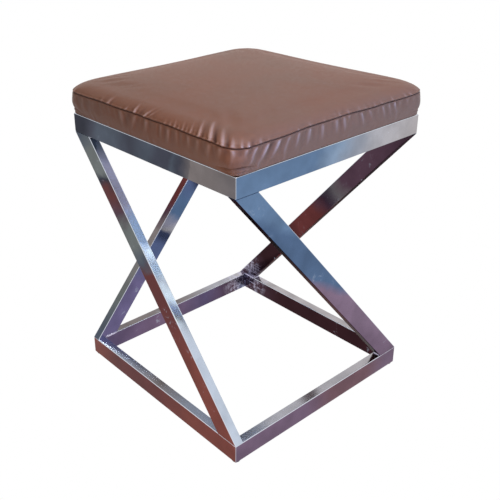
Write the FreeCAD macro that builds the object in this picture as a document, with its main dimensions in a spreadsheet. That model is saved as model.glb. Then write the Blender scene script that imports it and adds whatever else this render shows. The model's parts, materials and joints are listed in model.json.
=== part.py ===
import FreeCAD, Part
import os

import Sketcher

# Stool on a square frame of rectangular tube, with one slanted bar on each side.
# Millimetres. +Z is up and the origin is on the floor, under the middle of the seat.
# The front is the -Y side and the right is the +X side.

DRIVING_SIZES = [
    # Frame of rectangular tube
    ("side_length", 370, "outside width of the frame, the same both ways"),
    ("frame_height", 445, "floor to the top of the top rails"),
    ("tube_height", 30, "tall side of the tube"),
    ("tube_depth", 15, "short side of the tube"),
    ("tube_wall", 1.2, "wall of the tube"),
    ("tube_edge_radius", 1.5, "rounding along the tube's outer edges"),
    ("mitre_radius", 2, "rounding ground on each upright corner"),
    # Welds that show
    ("bead_width", 4, "width of the bead across a flush joint"),
    ("bead_rise", 1, "height of that bead over the tube"),
    ("heel_leg", 4, "leg of the weld in the sharp angle under a bar"),
    ("plate_weld_leg", 2.5, "leg of the weld under a corner plate"),
    ("plate_weld_margin", 5, "end of the plate's edge left without weld"),
    # Floor glides
    ("glide_diameter", 12, "diameter of a floor glide"),
    ("glide_thickness", 2, "thickness of a floor glide"),
    # Corner plates and the screws through them
    ("plate_leg", 45, "leg of the three-cornered plate"),
    ("plate_thickness", 3, "thickness of the plate"),
    ("hole_clearance", 0.3, "gap round a screw in its hole"),
    ("screw_diameter", 6, "thread diameter of the seat screws"),
    ("tip_setback", 1.6, "end of a screw below the top of the board"),
    ("head_diameter", 10.5, "diameter of the button head"),
    ("head_height", 3.3, "height of the button head"),
    ("head_taper", 25, "slope of the button head's side, in degrees"),
    ("socket_flats", 4, "hexagon socket across flats"),
    ("socket_depth", 2, "depth of the hexagon socket"),
    ("washer_diameter", 13, "outside diameter of a washer"),
    ("washer_thickness", 1.2, "thickness of a washer"),
    ("barrel_diameter", 8, "outside diameter of the nut's barrel"),
    ("barrel_setback", 1.5, "end of the nut's barrel above the board's underside"),
    ("flange_diameter", 19, "diameter of the nut's flange"),
    ("flange_thickness", 1.5, "thickness of the nut's flange"),
    # Seat board
    ("board_inset", 1, "edge of the board inside the frame's outer face"),
    ("board_thickness", 12, "thickness of the plywood board"),
    ("board_corner_radius", 8, "corner radius of the board"),
    # Cushion cover and its filling
    ("leather_thickness", 1, "thickness of the cover"),
    ("cover_ease", 0.2, "gap between the board's edge and the cover"),
    ("turn_under", 22, "width of the cover folded under the board"),
    ("fold_corner_radius", 4, "corner radius of the opening in the folded cover"),
    ("fold_gap", 1, "least gap from the folded cover to a screw hole"),
    ("seam_rise", 36, "height of the seam over the frame"),
    ("seam_overhang", 7, "reach of the seam past the frame's outer face"),
    ("seam_corner_radius", 29, "corner radius of the cushion at the seam"),
    ("side_draw_in", 4, "pull inwards of each side at its middle, at the seam"),
    ("foot_draw_in", 0.1, "pull inwards of each side at its middle, at the frame"),
    ("roll_reach", 21.4, "width of the rolled border inside the seam"),
    ("roll_rise", 13.2, "rise of the rolled border over the seam"),
    ("crown_rise", 12.4, "further rise of the crown in the middle"),
    ("crown_power", 2.2, "power of the crown's curve, 2 is a parabola"),
    ("crown_top_half", 18, "half width of the level patch on the crown"),
    ("corner_spread", 0.5, "growth of the corner radius for each mm inside the seam"),
    ("foam_gap", 0.3, "gap between the foam and the cover"),
    # Cloth under the seat and its staples
    ("cloth_thickness", 0.4, "thickness of the cloth under the seat"),
    ("cloth_overlap", 6, "cloth lapped over the folded cover"),
    ("cloth_gap", 1, "least gap from the cloth to the rails"),
    ("cloth_corner_radius", 4, "corner radius of the cloth"),
    ("staple_crown", 10, "length of a staple's crown"),
    ("staple_leg", 8, "length of a staple's legs"),
    ("staple_wire", 0.8, "thickness of the staple wire"),
    ("staple_setback", 3, "cloth's edge to the middle of a staple"),
    ("staple_margin", 8, "clearance between the end staples and the corner plates"),
]

WORKED_SIZES = [
    ("half_side", "Sizes.side_length / 2"),
    ("rail_bottom_top", "Sizes.glide_thickness + Sizes.tube_height"),
    ("rail_top_bottom", "Sizes.frame_height - Sizes.tube_height"),
    ("bar_rise", "rail_top_bottom - rail_bottom_top"),
    ("bar_reach", "sqrt(bar_rise ^ 2 + Sizes.side_length ^ 2)"),
    ("bar_angle", "atan2(bar_rise; Sizes.side_length) + asin(Sizes.tube_height / bar_reach)"),
    ("foot_length", "Sizes.tube_height / sin(bar_angle)"),
    ("wall_along_rail", "Sizes.tube_wall / sin(bar_angle)"),
    ("mitre_back", "Sizes.mitre_radius * (1 - cos(45))"),
    ("edge_rounding", "min(Sizes.tube_edge_radius; 0.9 * Sizes.mitre_radius)"),
    ("rail_inner_face", "half_side - Sizes.tube_depth"),
    ("plate_top", "Sizes.frame_height - Sizes.cloth_thickness"),
    ("plate_bottom", "plate_top - Sizes.plate_thickness"),
    ("board_half", "half_side - Sizes.board_inset"),
    ("board_bottom", "Sizes.frame_height + Sizes.leather_thickness"),
    ("board_top", "board_bottom + Sizes.board_thickness"),
    ("fold_half", "board_half - Sizes.turn_under"),
    ("hole_radius", "Sizes.screw_diameter / 2 + Sizes.hole_clearance"),
    ("screw_limit", "fold_half - Sizes.fold_gap - hole_radius"),
    ("screw_place", "min(rail_inner_face - Sizes.plate_leg / 3; screw_limit)"),
    ("head_bottom", "plate_bottom - Sizes.washer_thickness"),
    ("screw_length", "board_top - Sizes.tip_setback - head_bottom"),
    ("barrel_length", "Sizes.board_thickness - Sizes.flange_thickness - Sizes.barrel_setback"),
    ("cover_base_half", "board_half + Sizes.cover_ease + Sizes.leather_thickness"),
    ("cover_base_radius", "Sizes.board_corner_radius + Sizes.cover_ease + Sizes.leather_thickness"),
    ("seam_height", "Sizes.frame_height + Sizes.seam_rise"),
    ("seam_half", "half_side + Sizes.seam_overhang"),
    ("cloth_half", "min(fold_half + Sizes.cloth_overlap; rail_inner_face - Sizes.cloth_gap)"),
    ("staple_line", "cloth_half - Sizes.staple_setback"),
    ("staple_reach", "rail_inner_face - Sizes.plate_leg - Sizes.staple_margin - Sizes.staple_crown / 2"),
    ("foam_inset", "Sizes.leather_thickness + Sizes.foam_gap"),
]

SIDES = ["front", "right", "back", "left"]
CORNERS = ["front_right", "back_right", "back_left", "front_left"]
QUARTER_TURN = 90
STAPLES_PER_SIDE = 5
ROLL_RINGS = 5
CROWN_RINGS = 4
ROUNDEST_CORNER = 0.8
TOLERANCE = 0.01

Z_AXIS = FreeCAD.Vector(0, 0, 1)
Y_AXIS = FreeCAD.Vector(0, 1, 0)

doc = FreeCAD.newDocument("slanted_bar_stool")
sizes = doc.addObject("Spreadsheet::Sheet", "Sizes")
for row, (alias, number, meaning) in enumerate(DRIVING_SIZES, start=1):
    sizes.set(f"A{row}", str(number))
    sizes.setAlias(f"A{row}", alias)
    sizes.set(f"B{row}", meaning)
doc.recompute()

worked = doc.addObject("Spreadsheet::Sheet", "Worked")
for row, (alias, formula) in enumerate(WORKED_SIZES, start=1):
    worked.set(f"A{row}", "=" + formula)
    worked.setAlias(f"A{row}", alias)
doc.recompute()

nodes = []


# Helpers for sketches and features


def new_body(label):
    """Start a body whose label names its file."""
    body = doc.addObject("PartDesign::Body", label)
    body.Label = label
    body.AllowCompound = True
    nodes.append(body)
    return body


def origin_feature(body, role):
    """Find one of the body's own base planes or axes."""
    return next(part for part in body.Origin.OriginFeatures if part.Role == role)


def new_sketch(body, name, plane, offset=None):
    """Add an empty sketch on a base plane, moved along the plane's normal by an expression."""
    sketch = body.newObject("Sketcher::SketchObject", name)
    sketch.AttachmentSupport = [(origin_feature(body, plane), "")]
    sketch.MapMode = "FlatFace"
    if offset is not None:
        sketch.setExpression(".AttachmentOffset.Base.z", offset)
    return sketch


def number_of(expression):
    """Value of an expression over the sheets, as a plain number."""
    value = sizes.evalExpression(expression)
    return float(getattr(value, "Value", value))


def bind(sketch, kind, geometry, point, expression):
    """Hold one coordinate of a sketch point at an expression, measured from the origin."""
    held = Sketcher.Constraint(kind, -1, 1, geometry, point, number_of(expression))
    sketch.setExpression(f"Constraints[{sketch.addConstraint(held)}]", expression)


def add_loop(sketch, corners, arcs=None, hollows=None):
    """Draw a closed loop through corners, which run anticlockwise as pairs of expressions.

    arcs gives the radius of each numbered edge that bulges out of the shape, and
    hollows that of each edge that curves into it. The other edges are straight.
    """
    radii = {**(arcs or {}), **(hollows or {})}
    points = [FreeCAD.Vector(number_of(x), number_of(y), 0) for x, y in corners]
    starts = []
    ends = []
    for index, start in enumerate(points):
        end = points[(index + 1) % len(points)]
        if index not in radii:
            edge = sketch.addGeometry(Part.LineSegment(start, end), False)
            starts.append((edge, 1))
            ends.append((edge, 2))
            continue
        inward = index in (hollows or {})
        radius = number_of(radii[index])
        chord = end - start
        left = FreeCAD.Vector(-chord.y, chord.x, 0).normalize()
        to_centre = max(radius ** 2 - chord.Length ** 2 / 4, 0) ** 0.5
        centre = (start + end) / 2 + left * (-to_centre if inward else to_centre)
        first, last = (end, start) if inward else (start, end)
        circle = Part.Circle(centre, Z_AXIS, radius)
        arc = Part.ArcOfCircle(circle, circle.parameter(first), circle.parameter(last))
        edge = sketch.addGeometry(arc, False)
        starts.append((edge, 2 if inward else 1))
        ends.append((edge, 1 if inward else 2))
        held = Sketcher.Constraint("Radius", edge, radius)
        sketch.setExpression(f"Constraints[{sketch.addConstraint(held)}]", radii[index])
    for index, (x, y) in enumerate(corners):
        sketch.addConstraint(Sketcher.Constraint("Coincident", *ends[index - 1], *starts[index]))
        bind(sketch, "DistanceX", *starts[index], x)
        bind(sketch, "DistanceY", *starts[index], y)


def add_circle(sketch, x, y, radius):
    """Draw a circle whose centre and radius are expressions."""
    centre = FreeCAD.Vector(number_of(x), number_of(y), 0)
    edge = sketch.addGeometry(Part.Circle(centre, Z_AXIS, number_of(radius)), False)
    bind(sketch, "DistanceX", edge, 3, x)
    bind(sketch, "DistanceY", edge, 3, y)
    held = Sketcher.Constraint("Radius", edge, number_of(radius))
    sketch.setExpression(f"Constraints[{sketch.addConstraint(held)}]", radius)


def add_box(sketch, x, y, width, depth):
    """Draw a rectangle about a middle point."""
    left, right = f"{x} - ({width}) / 2", f"{x} + ({width}) / 2"
    low, high = f"{y} - ({depth}) / 2", f"{y} + ({depth}) / 2"
    add_loop(sketch, [(left, low), (right, low), (right, high), (left, high)])


def sweep(body, kind, name, profile, length, symmetric=False, backwards=False):
    """Pad or pocket a sketch by a length, or half of it each way."""
    feature = body.newObject(f"PartDesign::{kind}", name)
    feature.Profile = profile
    feature.SideType = "Symmetric" if symmetric else "One side"
    feature.Reversed = backwards
    feature.setExpression("Length", length)
    body.Tip = feature
    doc.recompute()
    return feature


def loft(body, kind, name, rings):
    """Join or cut a ruled loft through a list of sketches."""
    feature = body.newObject(f"PartDesign::{kind}", name)
    feature.Profile = rings[0]
    feature.Sections = rings[1:]
    feature.Ruled = True
    body.Tip = feature
    doc.recompute()


def round_edges(body, base, wanted):
    """Round the edges of a feature that a test picks."""
    names = [f"Edge{number}" for number, edge in enumerate(base.Shape.Edges, start=1) if wanted(edge)]
    feature = body.newObject("PartDesign::Fillet", "Rounded_edges")
    feature.Base = (base, names)
    feature.setExpression("Radius", "Worked.edge_rounding")
    body.Tip = feature
    doc.recompute()
    return feature


def four_times(body, features):
    """Repeat features at the four corners, a quarter turn apart."""
    pattern = body.newObject("PartDesign::PolarPattern", "Four_corners")
    pattern.Originals = features
    pattern.Axis = (origin_feature(body, "Z_Axis"), [""])
    pattern.Angle = 4 * QUARTER_TURN
    pattern.Occurrences = 4
    body.Tip = pattern
    doc.recompute()


def turn_to(body, quarter_turns, height=None):
    """Turn a piece about the upright axis and lift it to a height."""
    turn = FreeCAD.Rotation(Z_AXIS, QUARTER_TURN * quarter_turns)
    body.Placement = FreeCAD.Placement(FreeCAD.Vector(0, 0, 0), turn)
    if height is not None:
        body.setExpression(".Placement.Base.z", height)


def rounded_square(half, radius, draw_in=None):
    """Corners, arcs and hollows of a square with rounded corners and sides that may be drawn in."""
    flat = f"({half}) - ({radius})"
    near, far = f"-({flat})", flat
    low, high = f"-({half})", f"{half}"
    corners = [(near, low), (far, low), (high, near), (high, far)]
    corners += [(far, high), (near, high), (low, far), (low, near)]
    arcs = {edge: radius for edge in (1, 3, 5, 7)}
    if draw_in is None:
        return corners, arcs
    side_radius = f"(({flat}) ^ 2 + ({draw_in}) ^ 2) / (2 * ({draw_in}))"
    return corners, arcs, {edge: side_radius for edge in (0, 2, 4, 6)}


# Frame


def rail(label, quarter_turns, height):
    """Mitred tube along one side of the top or bottom square, about its middle height."""
    body = new_body(label)
    outline = new_sketch(body, "Outline", "XY_Plane")
    side, back, inner = "Worked.half_side", "Worked.mitre_back", "Worked.rail_inner_face"
    corners = [
        (f"-({side} - Sizes.mitre_radius)", f"-{side}"),
        (f"{side} - Sizes.mitre_radius", f"-{side}"),
        (f"{side} - {back}", f"-({side} - {back})"),
        (inner, f"-{inner}"),
        (f"-{inner}", f"-{inner}"),
        (f"-({side} - {back})", f"-({side} - {back})"),
    ]
    add_loop(outline, corners, {1: "Sizes.mitre_radius", 5: "Sizes.mitre_radius"})
    tube = sweep(body, "Pad", "Tube", outline, "Sizes.tube_height", symmetric=True)

    def runs_along(edge):
        middle = edge.valueAt((edge.FirstParameter + edge.LastParameter) / 2)
        level = edge.BoundBox.ZLength < TOLERANCE
        return level and abs(abs(middle.x) - abs(middle.y)) > TOLERANCE

    round_edges(body, tube, runs_along)
    bore = new_sketch(body, "Bore_outline", "XY_Plane")
    outer_wall = f"({side} - Sizes.tube_wall)"
    inner_wall = f"({inner} + Sizes.tube_wall)"
    corners = [
        (f"-{outer_wall}", f"-{outer_wall}"),
        (outer_wall, f"-{outer_wall}"),
        (inner_wall, f"-{inner_wall}"),
        (f"-{inner_wall}", f"-{inner_wall}"),
    ]
    add_loop(bore, corners)
    sweep(body, "Pocket", "Bore", bore, "Sizes.tube_height - 2 * Sizes.tube_wall", symmetric=True)
    turn_to(body, quarter_turns, height)


def slanted_bar(label, quarter_turns):
    """Tube from under a top corner down to the next bottom corner, cut level at both ends."""
    body = new_body(label)
    side, low, high = "Worked.half_side", "Worked.rail_bottom_top", "Worked.rail_top_bottom"
    middle_depth = f"{side} - Sizes.tube_depth / 2"
    outline = new_sketch(body, "Outline", "XZ_Plane", middle_depth)
    heel = f"({side} - Worked.foot_length)"
    add_loop(outline, [(heel, low), (side, low), (f"-{heel}", high), (f"-{side}", high)])
    tube = sweep(body, "Pad", "Tube", outline, "Sizes.tube_depth", symmetric=True)
    round_edges(body, tube, lambda edge: edge.BoundBox.ZLength > TOLERANCE)
    bore = new_sketch(body, "Bore_outline", "XZ_Plane", middle_depth)
    near = f"({side} - Worked.foot_length + Worked.wall_along_rail)"
    far = f"({side} - Worked.wall_along_rail)"
    add_loop(bore, [(near, low), (far, low), (f"-{near}", high), (f"-{far}", high)])
    sweep(body, "Pocket", "Bore", bore, "Sizes.tube_depth - 2 * Sizes.tube_wall", symmetric=True)
    turn_to(body, quarter_turns)


def bar_welds(label, at_head):
    """Beads at the four feet of the bars, or upside down at their four heads."""
    body = new_body(label)
    low = "Worked.rail_bottom_top"
    bead_outline = new_sketch(body, "Bead_outline", "YZ_Plane", "Worked.half_side - Worked.foot_length")
    face = "-Worked.rail_inner_face"
    bead_radius = "(Sizes.bead_width ^ 2 / 4 + Sizes.bead_rise ^ 2) / (2 * Sizes.bead_rise)"
    ends = [(face, f"{low} - Sizes.bead_width / 2"), (face, f"{low} + Sizes.bead_width / 2")]
    add_loop(bead_outline, ends, {0: bead_radius})
    bead = sweep(body, "Pad", "Bead", bead_outline, "Worked.foot_length - Sizes.tube_depth")
    heel_outline = new_sketch(body, "Heel_outline", "XZ_Plane", "Worked.half_side - Sizes.tube_depth / 2")
    heel = "(Worked.half_side - Worked.foot_length)"
    along_bar = (
        f"{heel} - Sizes.heel_leg * cos(Worked.bar_angle)",
        f"{low} + Sizes.heel_leg * sin(Worked.bar_angle)",
    )
    corners = [(heel, low), along_bar, (f"{heel} - Sizes.heel_leg", low)]
    add_loop(heel_outline, corners, {1: "Sizes.heel_leg"})
    heel_width = "Sizes.tube_depth - 2 * Worked.edge_rounding"
    heel_weld = sweep(body, "Pad", "Heel", heel_outline, heel_width, symmetric=True)
    four_times(body, [bead, heel_weld])
    if at_head:
        body.Placement = FreeCAD.Placement(FreeCAD.Vector(0, 0, 0), FreeCAD.Rotation(Y_AXIS, 180))
        body.setExpression(".Placement.Base.z", "Worked.rail_top_bottom + Worked.rail_bottom_top")


def corner_plate(label, quarter_turns):
    """Three-cornered plate inside the top square, with a hole for a seat screw."""
    body = new_body(label)
    outline = new_sketch(body, "Outline", "XY_Plane")
    inner = "Worked.rail_inner_face"
    short = f"({inner} - Sizes.plate_leg)"
    add_loop(outline, [(short, f"-{inner}"), (inner, f"-{inner}"), (inner, f"-{short}")])
    add_circle(outline, "Worked.screw_place", "-Worked.screw_place", "Worked.hole_radius")
    sweep(body, "Pad", "Plate", outline, "Sizes.plate_thickness")
    turn_to(body, quarter_turns, "Worked.plate_bottom")


def plate_welds():
    """Two fillet welds under each corner plate, one along each rail."""
    body = new_body("plate_welds")
    inner, under, leg = "Worked.rail_inner_face", "Worked.plate_bottom", "Sizes.plate_weld_leg"
    run = "Sizes.plate_leg - 2 * Sizes.plate_weld_margin"
    start = f"{inner} - Sizes.plate_weld_margin - ({run})"
    along_x = new_sketch(body, "Along_front_rail", "YZ_Plane", start)
    corners = [(f"-{inner}", under), (f"-{inner}", f"{under} - {leg}"), (f"-{inner} + {leg}", under)]
    add_loop(along_x, corners, hollows={1: leg})
    first = sweep(body, "Pad", "First_weld", along_x, run)
    along_y = new_sketch(body, "Along_right_rail", "XZ_Plane", start)
    corners = [(inner, under), (f"{inner} - {leg}", under), (inner, f"{under} - {leg}")]
    add_loop(along_y, corners, hollows={1: leg})
    second = sweep(body, "Pad", "Second_weld", along_y, run)
    four_times(body, [first, second])


def floor_glide(label, quarter_turns):
    """Thin round glide under one corner."""
    body = new_body(label)
    outline = new_sketch(body, "Outline", "XY_Plane")
    place = "Worked.half_side - Sizes.tube_depth / 2"
    add_circle(outline, place, f"-({place})", "Sizes.glide_diameter / 2")
    sweep(body, "Pad", "Disc", outline, "Sizes.glide_thickness")
    turn_to(body, quarter_turns)


# Fastenings of the seat


def ring_at_screw(body, name, outer, inner, height):
    """Sketch of a ring round the front right screw, at a height."""
    sketch = new_sketch(body, name, "XY_Plane", height)
    add_circle(sketch, "Worked.screw_place", "-Worked.screw_place", outer)
    if inner is not None:
        add_circle(sketch, "Worked.screw_place", "-Worked.screw_place", inner)
    return sketch


def seat_screws():
    """Four button-head screws that come up through the corner plates."""
    body = new_body("seat_screws")
    shank = ring_at_screw(body, "Shank_circle", "Sizes.screw_diameter / 2", None, "Worked.head_bottom")
    shank_pad = sweep(body, "Pad", "Shank", shank, "Worked.screw_length")
    head = ring_at_screw(body, "Head_circle", "Sizes.head_diameter / 2", None, "Worked.head_bottom")
    head_pad = sweep(body, "Pad", "Head", head, "Sizes.head_height", backwards=True)
    head_pad.setExpression("TaperAngle", "-Sizes.head_taper")
    doc.recompute()
    socket = new_sketch(body, "Socket_outline", "XY_Plane", "Worked.head_bottom - Sizes.head_height")
    across_corners = "Sizes.socket_flats / cos(30) / 2"
    corners = []
    for step in range(6):
        angle = 60 * step
        x = f"Worked.screw_place + {across_corners} * cos({angle})"
        y = f"-Worked.screw_place + {across_corners} * sin({angle})"
        corners.append((x, y))
    add_loop(socket, corners)
    socket_cut = sweep(body, "Pocket", "Socket", socket, "Sizes.socket_depth", backwards=True)
    four_times(body, [shank_pad, head_pad, socket_cut])


def screw_washers():
    """Four washers between the screw heads and the plates."""
    body = new_body("screw_washers")
    outer = "Sizes.washer_diameter / 2"
    ring = ring_at_screw(body, "Ring", outer, "Worked.hole_radius", "Worked.head_bottom")
    four_times(body, [sweep(body, "Pad", "Washer", ring, "Sizes.washer_thickness")])


def seat_nuts():
    """Four flanged nuts let into the top of the board."""
    body = new_body("seat_nuts")
    bore = "Sizes.screw_diameter / 2"
    flange_bottom = "Worked.board_top - Sizes.flange_thickness"
    flange = ring_at_screw(body, "Flange_ring", "Sizes.flange_diameter / 2", bore, flange_bottom)
    barrel = ring_at_screw(body, "Barrel_ring", "Sizes.barrel_diameter / 2", bore, flange_bottom)
    flange_pad = sweep(body, "Pad", "Flange", flange, "Sizes.flange_thickness")
    barrel_pad = sweep(body, "Pad", "Barrel", barrel, "Worked.barrel_length", backwards=True)
    four_times(body, [flange_pad, barrel_pad])


# Staples and what they hold


def staple_places():
    """Middles of the staples along one side, as expressions."""
    steps = STAPLES_PER_SIDE - 1
    return [f"Worked.staple_reach * {2 * index / steps - 1}" for index in range(STAPLES_PER_SIDE)]


def add_staple_legs(sketch):
    """Draw both legs of every staple along the front side."""
    for place in staple_places():
        for sign in ("-", "+"):
            middle = f"({place} {sign} (Sizes.staple_crown - Sizes.staple_wire) / 2)"
            add_box(sketch, middle, "-Worked.staple_line", "Sizes.staple_wire", "Sizes.staple_wire")


def staples():
    """Rows of staples that hold the cloth's edges to the board."""
    body = new_body("staples")
    crown_low = "Worked.plate_top - Sizes.staple_wire"
    crowns = new_sketch(body, "Crown_outlines", "XY_Plane", crown_low)
    for place in staple_places():
        add_box(crowns, place, "-Worked.staple_line", "Sizes.staple_crown", "Sizes.staple_wire")
    crown_pad = sweep(body, "Pad", "Crowns", crowns, "Sizes.staple_wire")
    legs = new_sketch(body, "Leg_outlines", "XY_Plane", crown_low)
    add_staple_legs(legs)
    leg_pad = sweep(body, "Pad", "Legs", legs, "Sizes.staple_leg")
    four_times(body, [crown_pad, leg_pad])


def cut_staple_slots(body):
    """Cut the slots that the staples' legs pass through, on all four sides."""
    slots = new_sketch(body, "Staple_slots", "XY_Plane", "Worked.plate_top - Sizes.staple_wire")
    add_staple_legs(slots)
    return sweep(body, "Pocket", "Slots", slots, "Sizes.staple_leg", backwards=True)


def dust_cover():
    """Square of thin grey cloth that closes the underside of the seat."""
    body = new_body("dust_cover")
    outline = new_sketch(body, "Outline", "XY_Plane", "Worked.plate_top")
    add_loop(outline, *rounded_square("Worked.cloth_half", "Sizes.cloth_corner_radius"))
    sweep(body, "Pad", "Cloth", outline, "Sizes.cloth_thickness")
    hole = ring_at_screw(body, "Hole_circle", "Worked.hole_radius", None, "Worked.plate_top")
    hole_cut = sweep(body, "Pocket", "Hole", hole, "Sizes.cloth_thickness", backwards=True)
    four_times(body, [hole_cut, cut_staple_slots(body)])


def seat_board():
    """Plywood board with holes and recesses for the nuts."""
    body = new_body("seat_board")
    outline = new_sketch(body, "Outline", "XY_Plane", "Worked.board_bottom")
    add_loop(outline, *rounded_square("Worked.board_half", "Sizes.board_corner_radius"))
    sweep(body, "Pad", "Board", outline, "Sizes.board_thickness")
    hole = ring_at_screw(body, "Hole_circle", "Sizes.barrel_diameter / 2", None, "Worked.board_bottom")
    hole_cut = sweep(body, "Pocket", "Hole", hole, "Sizes.board_thickness", backwards=True)
    recess = ring_at_screw(body, "Recess_circle", "Sizes.flange_diameter / 2", None, "Worked.board_top")
    recess_cut = sweep(body, "Pocket", "Recess", recess, "Sizes.flange_thickness")
    four_times(body, [hole_cut, recess_cut, cut_staple_slots(body)])


# Cushion


def cushion_ring(body, name, half, radius, draw_in, height):
    """Closed level section of the cushion."""
    sketch = new_sketch(body, name, "XY_Plane", height)
    add_loop(sketch, *rounded_square(half, radius, draw_in))
    return sketch


def side_rings(body, name, bottom, inset):
    """Two sections of the cushion's side, from a height up to the seam, inside the cover by inset."""
    share = f"(({bottom} - Sizes.frame_height) / Sizes.seam_rise)"

    def between(foot, seam):
        return f"({foot} + ({seam} - {foot}) * {share})"

    half = f"({between('Worked.cover_base_half', 'Worked.seam_half')} - {inset})"
    radius = f"({between('Worked.cover_base_radius', 'Sizes.seam_corner_radius')} - {inset})"
    draw_in = between("Sizes.foot_draw_in", "Sizes.side_draw_in")
    seam_half = f"(Worked.seam_half - {inset})"
    seam_radius = f"(Sizes.seam_corner_radius - {inset})"
    seam = (seam_half, seam_radius, "Sizes.side_draw_in", "Worked.seam_height")
    return [
        cushion_ring(body, f"{name}_low", half, radius, draw_in, bottom),
        cushion_ring(body, f"{name}_high", *seam),
    ]


def dome_rings(body, name, inset):
    """Sections of the rolled border and the crown over the seam, inside the cover by inset."""
    angles = [QUARTER_TURN * step / ROLL_RINGS for step in range(ROLL_RINGS + 1)]
    insets = [f"Sizes.roll_reach * (1 - cos({angle}))" for angle in angles]
    rolls = [f"Sizes.roll_rise * sin({angle})" for angle in angles]
    crown_run = "(Worked.seam_half - Sizes.roll_reach - Sizes.crown_top_half)"
    for step in range(1, CROWN_RINGS + 1):
        insets.append(f"(Sizes.roll_reach + {crown_run} * {step / CROWN_RINGS})")
        rolls.append("Sizes.roll_rise")
    rings = []
    for number, (ring_inset, roll) in enumerate(zip(insets, rolls)):
        share = f"(1 - {ring_inset} / Worked.seam_half)"
        half = f"(Worked.seam_half - {ring_inset} - {inset})"
        spread = f"Sizes.seam_corner_radius + Sizes.corner_spread * {ring_inset} - {inset}"
        radius = f"min({spread}; {ROUNDEST_CORNER} * {half})"
        crown = f"Sizes.crown_rise * (1 - {share} ^ Sizes.crown_power)"
        height = f"Worked.seam_height + {roll} + {crown}"
        if number > 0:
            height += f" - {inset}"
        draw_in = f"(Sizes.side_draw_in * {share})"
        rings.append(cushion_ring(body, f"{name}_{number}", half, radius, draw_in, height))
    return rings


def cover_boxing():
    """Band of the cover round the cushion's sides, folded under the board at its foot."""
    body = new_body("cover_boxing")
    loft(body, "AdditiveLoft", "Outside", side_rings(body, "Outer", "Sizes.frame_height", "0"))
    inside = side_rings(body, "Inner", "Worked.board_bottom", "Sizes.leather_thickness")
    loft(body, "SubtractiveLoft", "Inside", inside)
    opening = new_sketch(body, "Opening_outline", "XY_Plane", "Sizes.frame_height")
    add_loop(opening, *rounded_square("Worked.fold_half", "Sizes.fold_corner_radius"))
    sweep(body, "Pocket", "Opening", opening, "Sizes.leather_thickness", backwards=True)
    four_times(body, [cut_staple_slots(body)])


def cover_top_panel():
    """Crowned top panel of the cover, from seam to seam."""
    body = new_body("cover_top_panel")
    loft(body, "AdditiveLoft", "Outside", dome_rings(body, "Outer", "0"))
    loft(body, "SubtractiveLoft", "Inside", dome_rings(body, "Inner", "Sizes.leather_thickness"))


def foam_pad():
    """Foam block that fills the cover over the board."""
    body = new_body("foam_pad")
    sides = side_rings(body, "Side", "Worked.board_top", "Worked.foam_inset")
    loft(body, "AdditiveLoft", "Block", sides)
    loft(body, "AdditiveLoft", "Crown", dome_rings(body, "Crown_ring", "Worked.foam_inset"))


for turn, side_name in enumerate(SIDES):
    rail(f"top_rail_{side_name}", turn, "Sizes.frame_height - Sizes.tube_height / 2")
    rail(f"bottom_rail_{side_name}", turn, "Sizes.glide_thickness + Sizes.tube_height / 2")
    slanted_bar(f"slanted_bar_{side_name}", turn)
for turn, corner_name in enumerate(CORNERS):
    corner_plate(f"corner_plate_{corner_name}", turn)
    floor_glide(f"floor_glide_{corner_name}", turn)
bar_welds("bar_foot_welds", at_head=False)
bar_welds("bar_head_welds", at_head=True)
plate_welds()
seat_screws()
screw_washers()
seat_nuts()
seat_board()
cover_boxing()
cover_top_panel()
foam_pad()
dust_cover()
staples()
doc.recompute()

for item in doc.Objects:
    if {"Invalid", "Error"} & set(item.State):
        raise RuntimeError(f"{item.Label} failed: {item.State}")
for node in nodes:
    if node.Shape.isNull() or not node.Shape.isValid():
        raise RuntimeError(f"{node.Label} has no valid shape")

os.makedirs("parts", exist_ok=True)
for node in nodes:
    node.Shape.exportStep(os.path.join("parts", f"{node.Label}.step"))
print(f"{len(nodes)} sub-parts written")
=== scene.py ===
"""Square stool with slanted bars: polished tube frame, boxed leather cushion and what holds it."""
import json
import logging
import math
import random
from collections.abc import Callable, Iterator
from contextlib import contextmanager
from dataclasses import dataclass, field
from enum import Enum

import bpy
import numpy as np
from mathutils import Matrix, Vector

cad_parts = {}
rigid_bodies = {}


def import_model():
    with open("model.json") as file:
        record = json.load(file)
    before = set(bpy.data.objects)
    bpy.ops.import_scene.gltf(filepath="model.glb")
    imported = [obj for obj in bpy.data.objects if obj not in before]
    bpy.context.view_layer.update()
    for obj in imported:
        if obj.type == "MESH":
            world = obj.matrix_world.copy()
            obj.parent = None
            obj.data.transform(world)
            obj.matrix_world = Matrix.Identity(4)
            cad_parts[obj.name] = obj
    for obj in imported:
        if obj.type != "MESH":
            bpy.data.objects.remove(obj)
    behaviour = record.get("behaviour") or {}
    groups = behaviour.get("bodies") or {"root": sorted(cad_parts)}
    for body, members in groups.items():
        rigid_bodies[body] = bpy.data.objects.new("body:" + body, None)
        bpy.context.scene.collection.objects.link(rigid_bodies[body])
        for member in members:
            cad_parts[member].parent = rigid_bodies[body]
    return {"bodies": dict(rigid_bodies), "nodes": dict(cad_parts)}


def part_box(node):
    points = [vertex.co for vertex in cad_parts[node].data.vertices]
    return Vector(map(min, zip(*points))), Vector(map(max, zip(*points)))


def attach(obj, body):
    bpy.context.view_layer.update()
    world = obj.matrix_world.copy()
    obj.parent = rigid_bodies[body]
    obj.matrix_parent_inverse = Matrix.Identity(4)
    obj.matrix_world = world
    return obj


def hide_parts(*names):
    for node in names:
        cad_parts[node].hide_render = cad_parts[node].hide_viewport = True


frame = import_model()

Socket = bpy.types.NodeSocket
Piece = bpy.types.Object
Triple = tuple[float, float, float]

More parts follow.
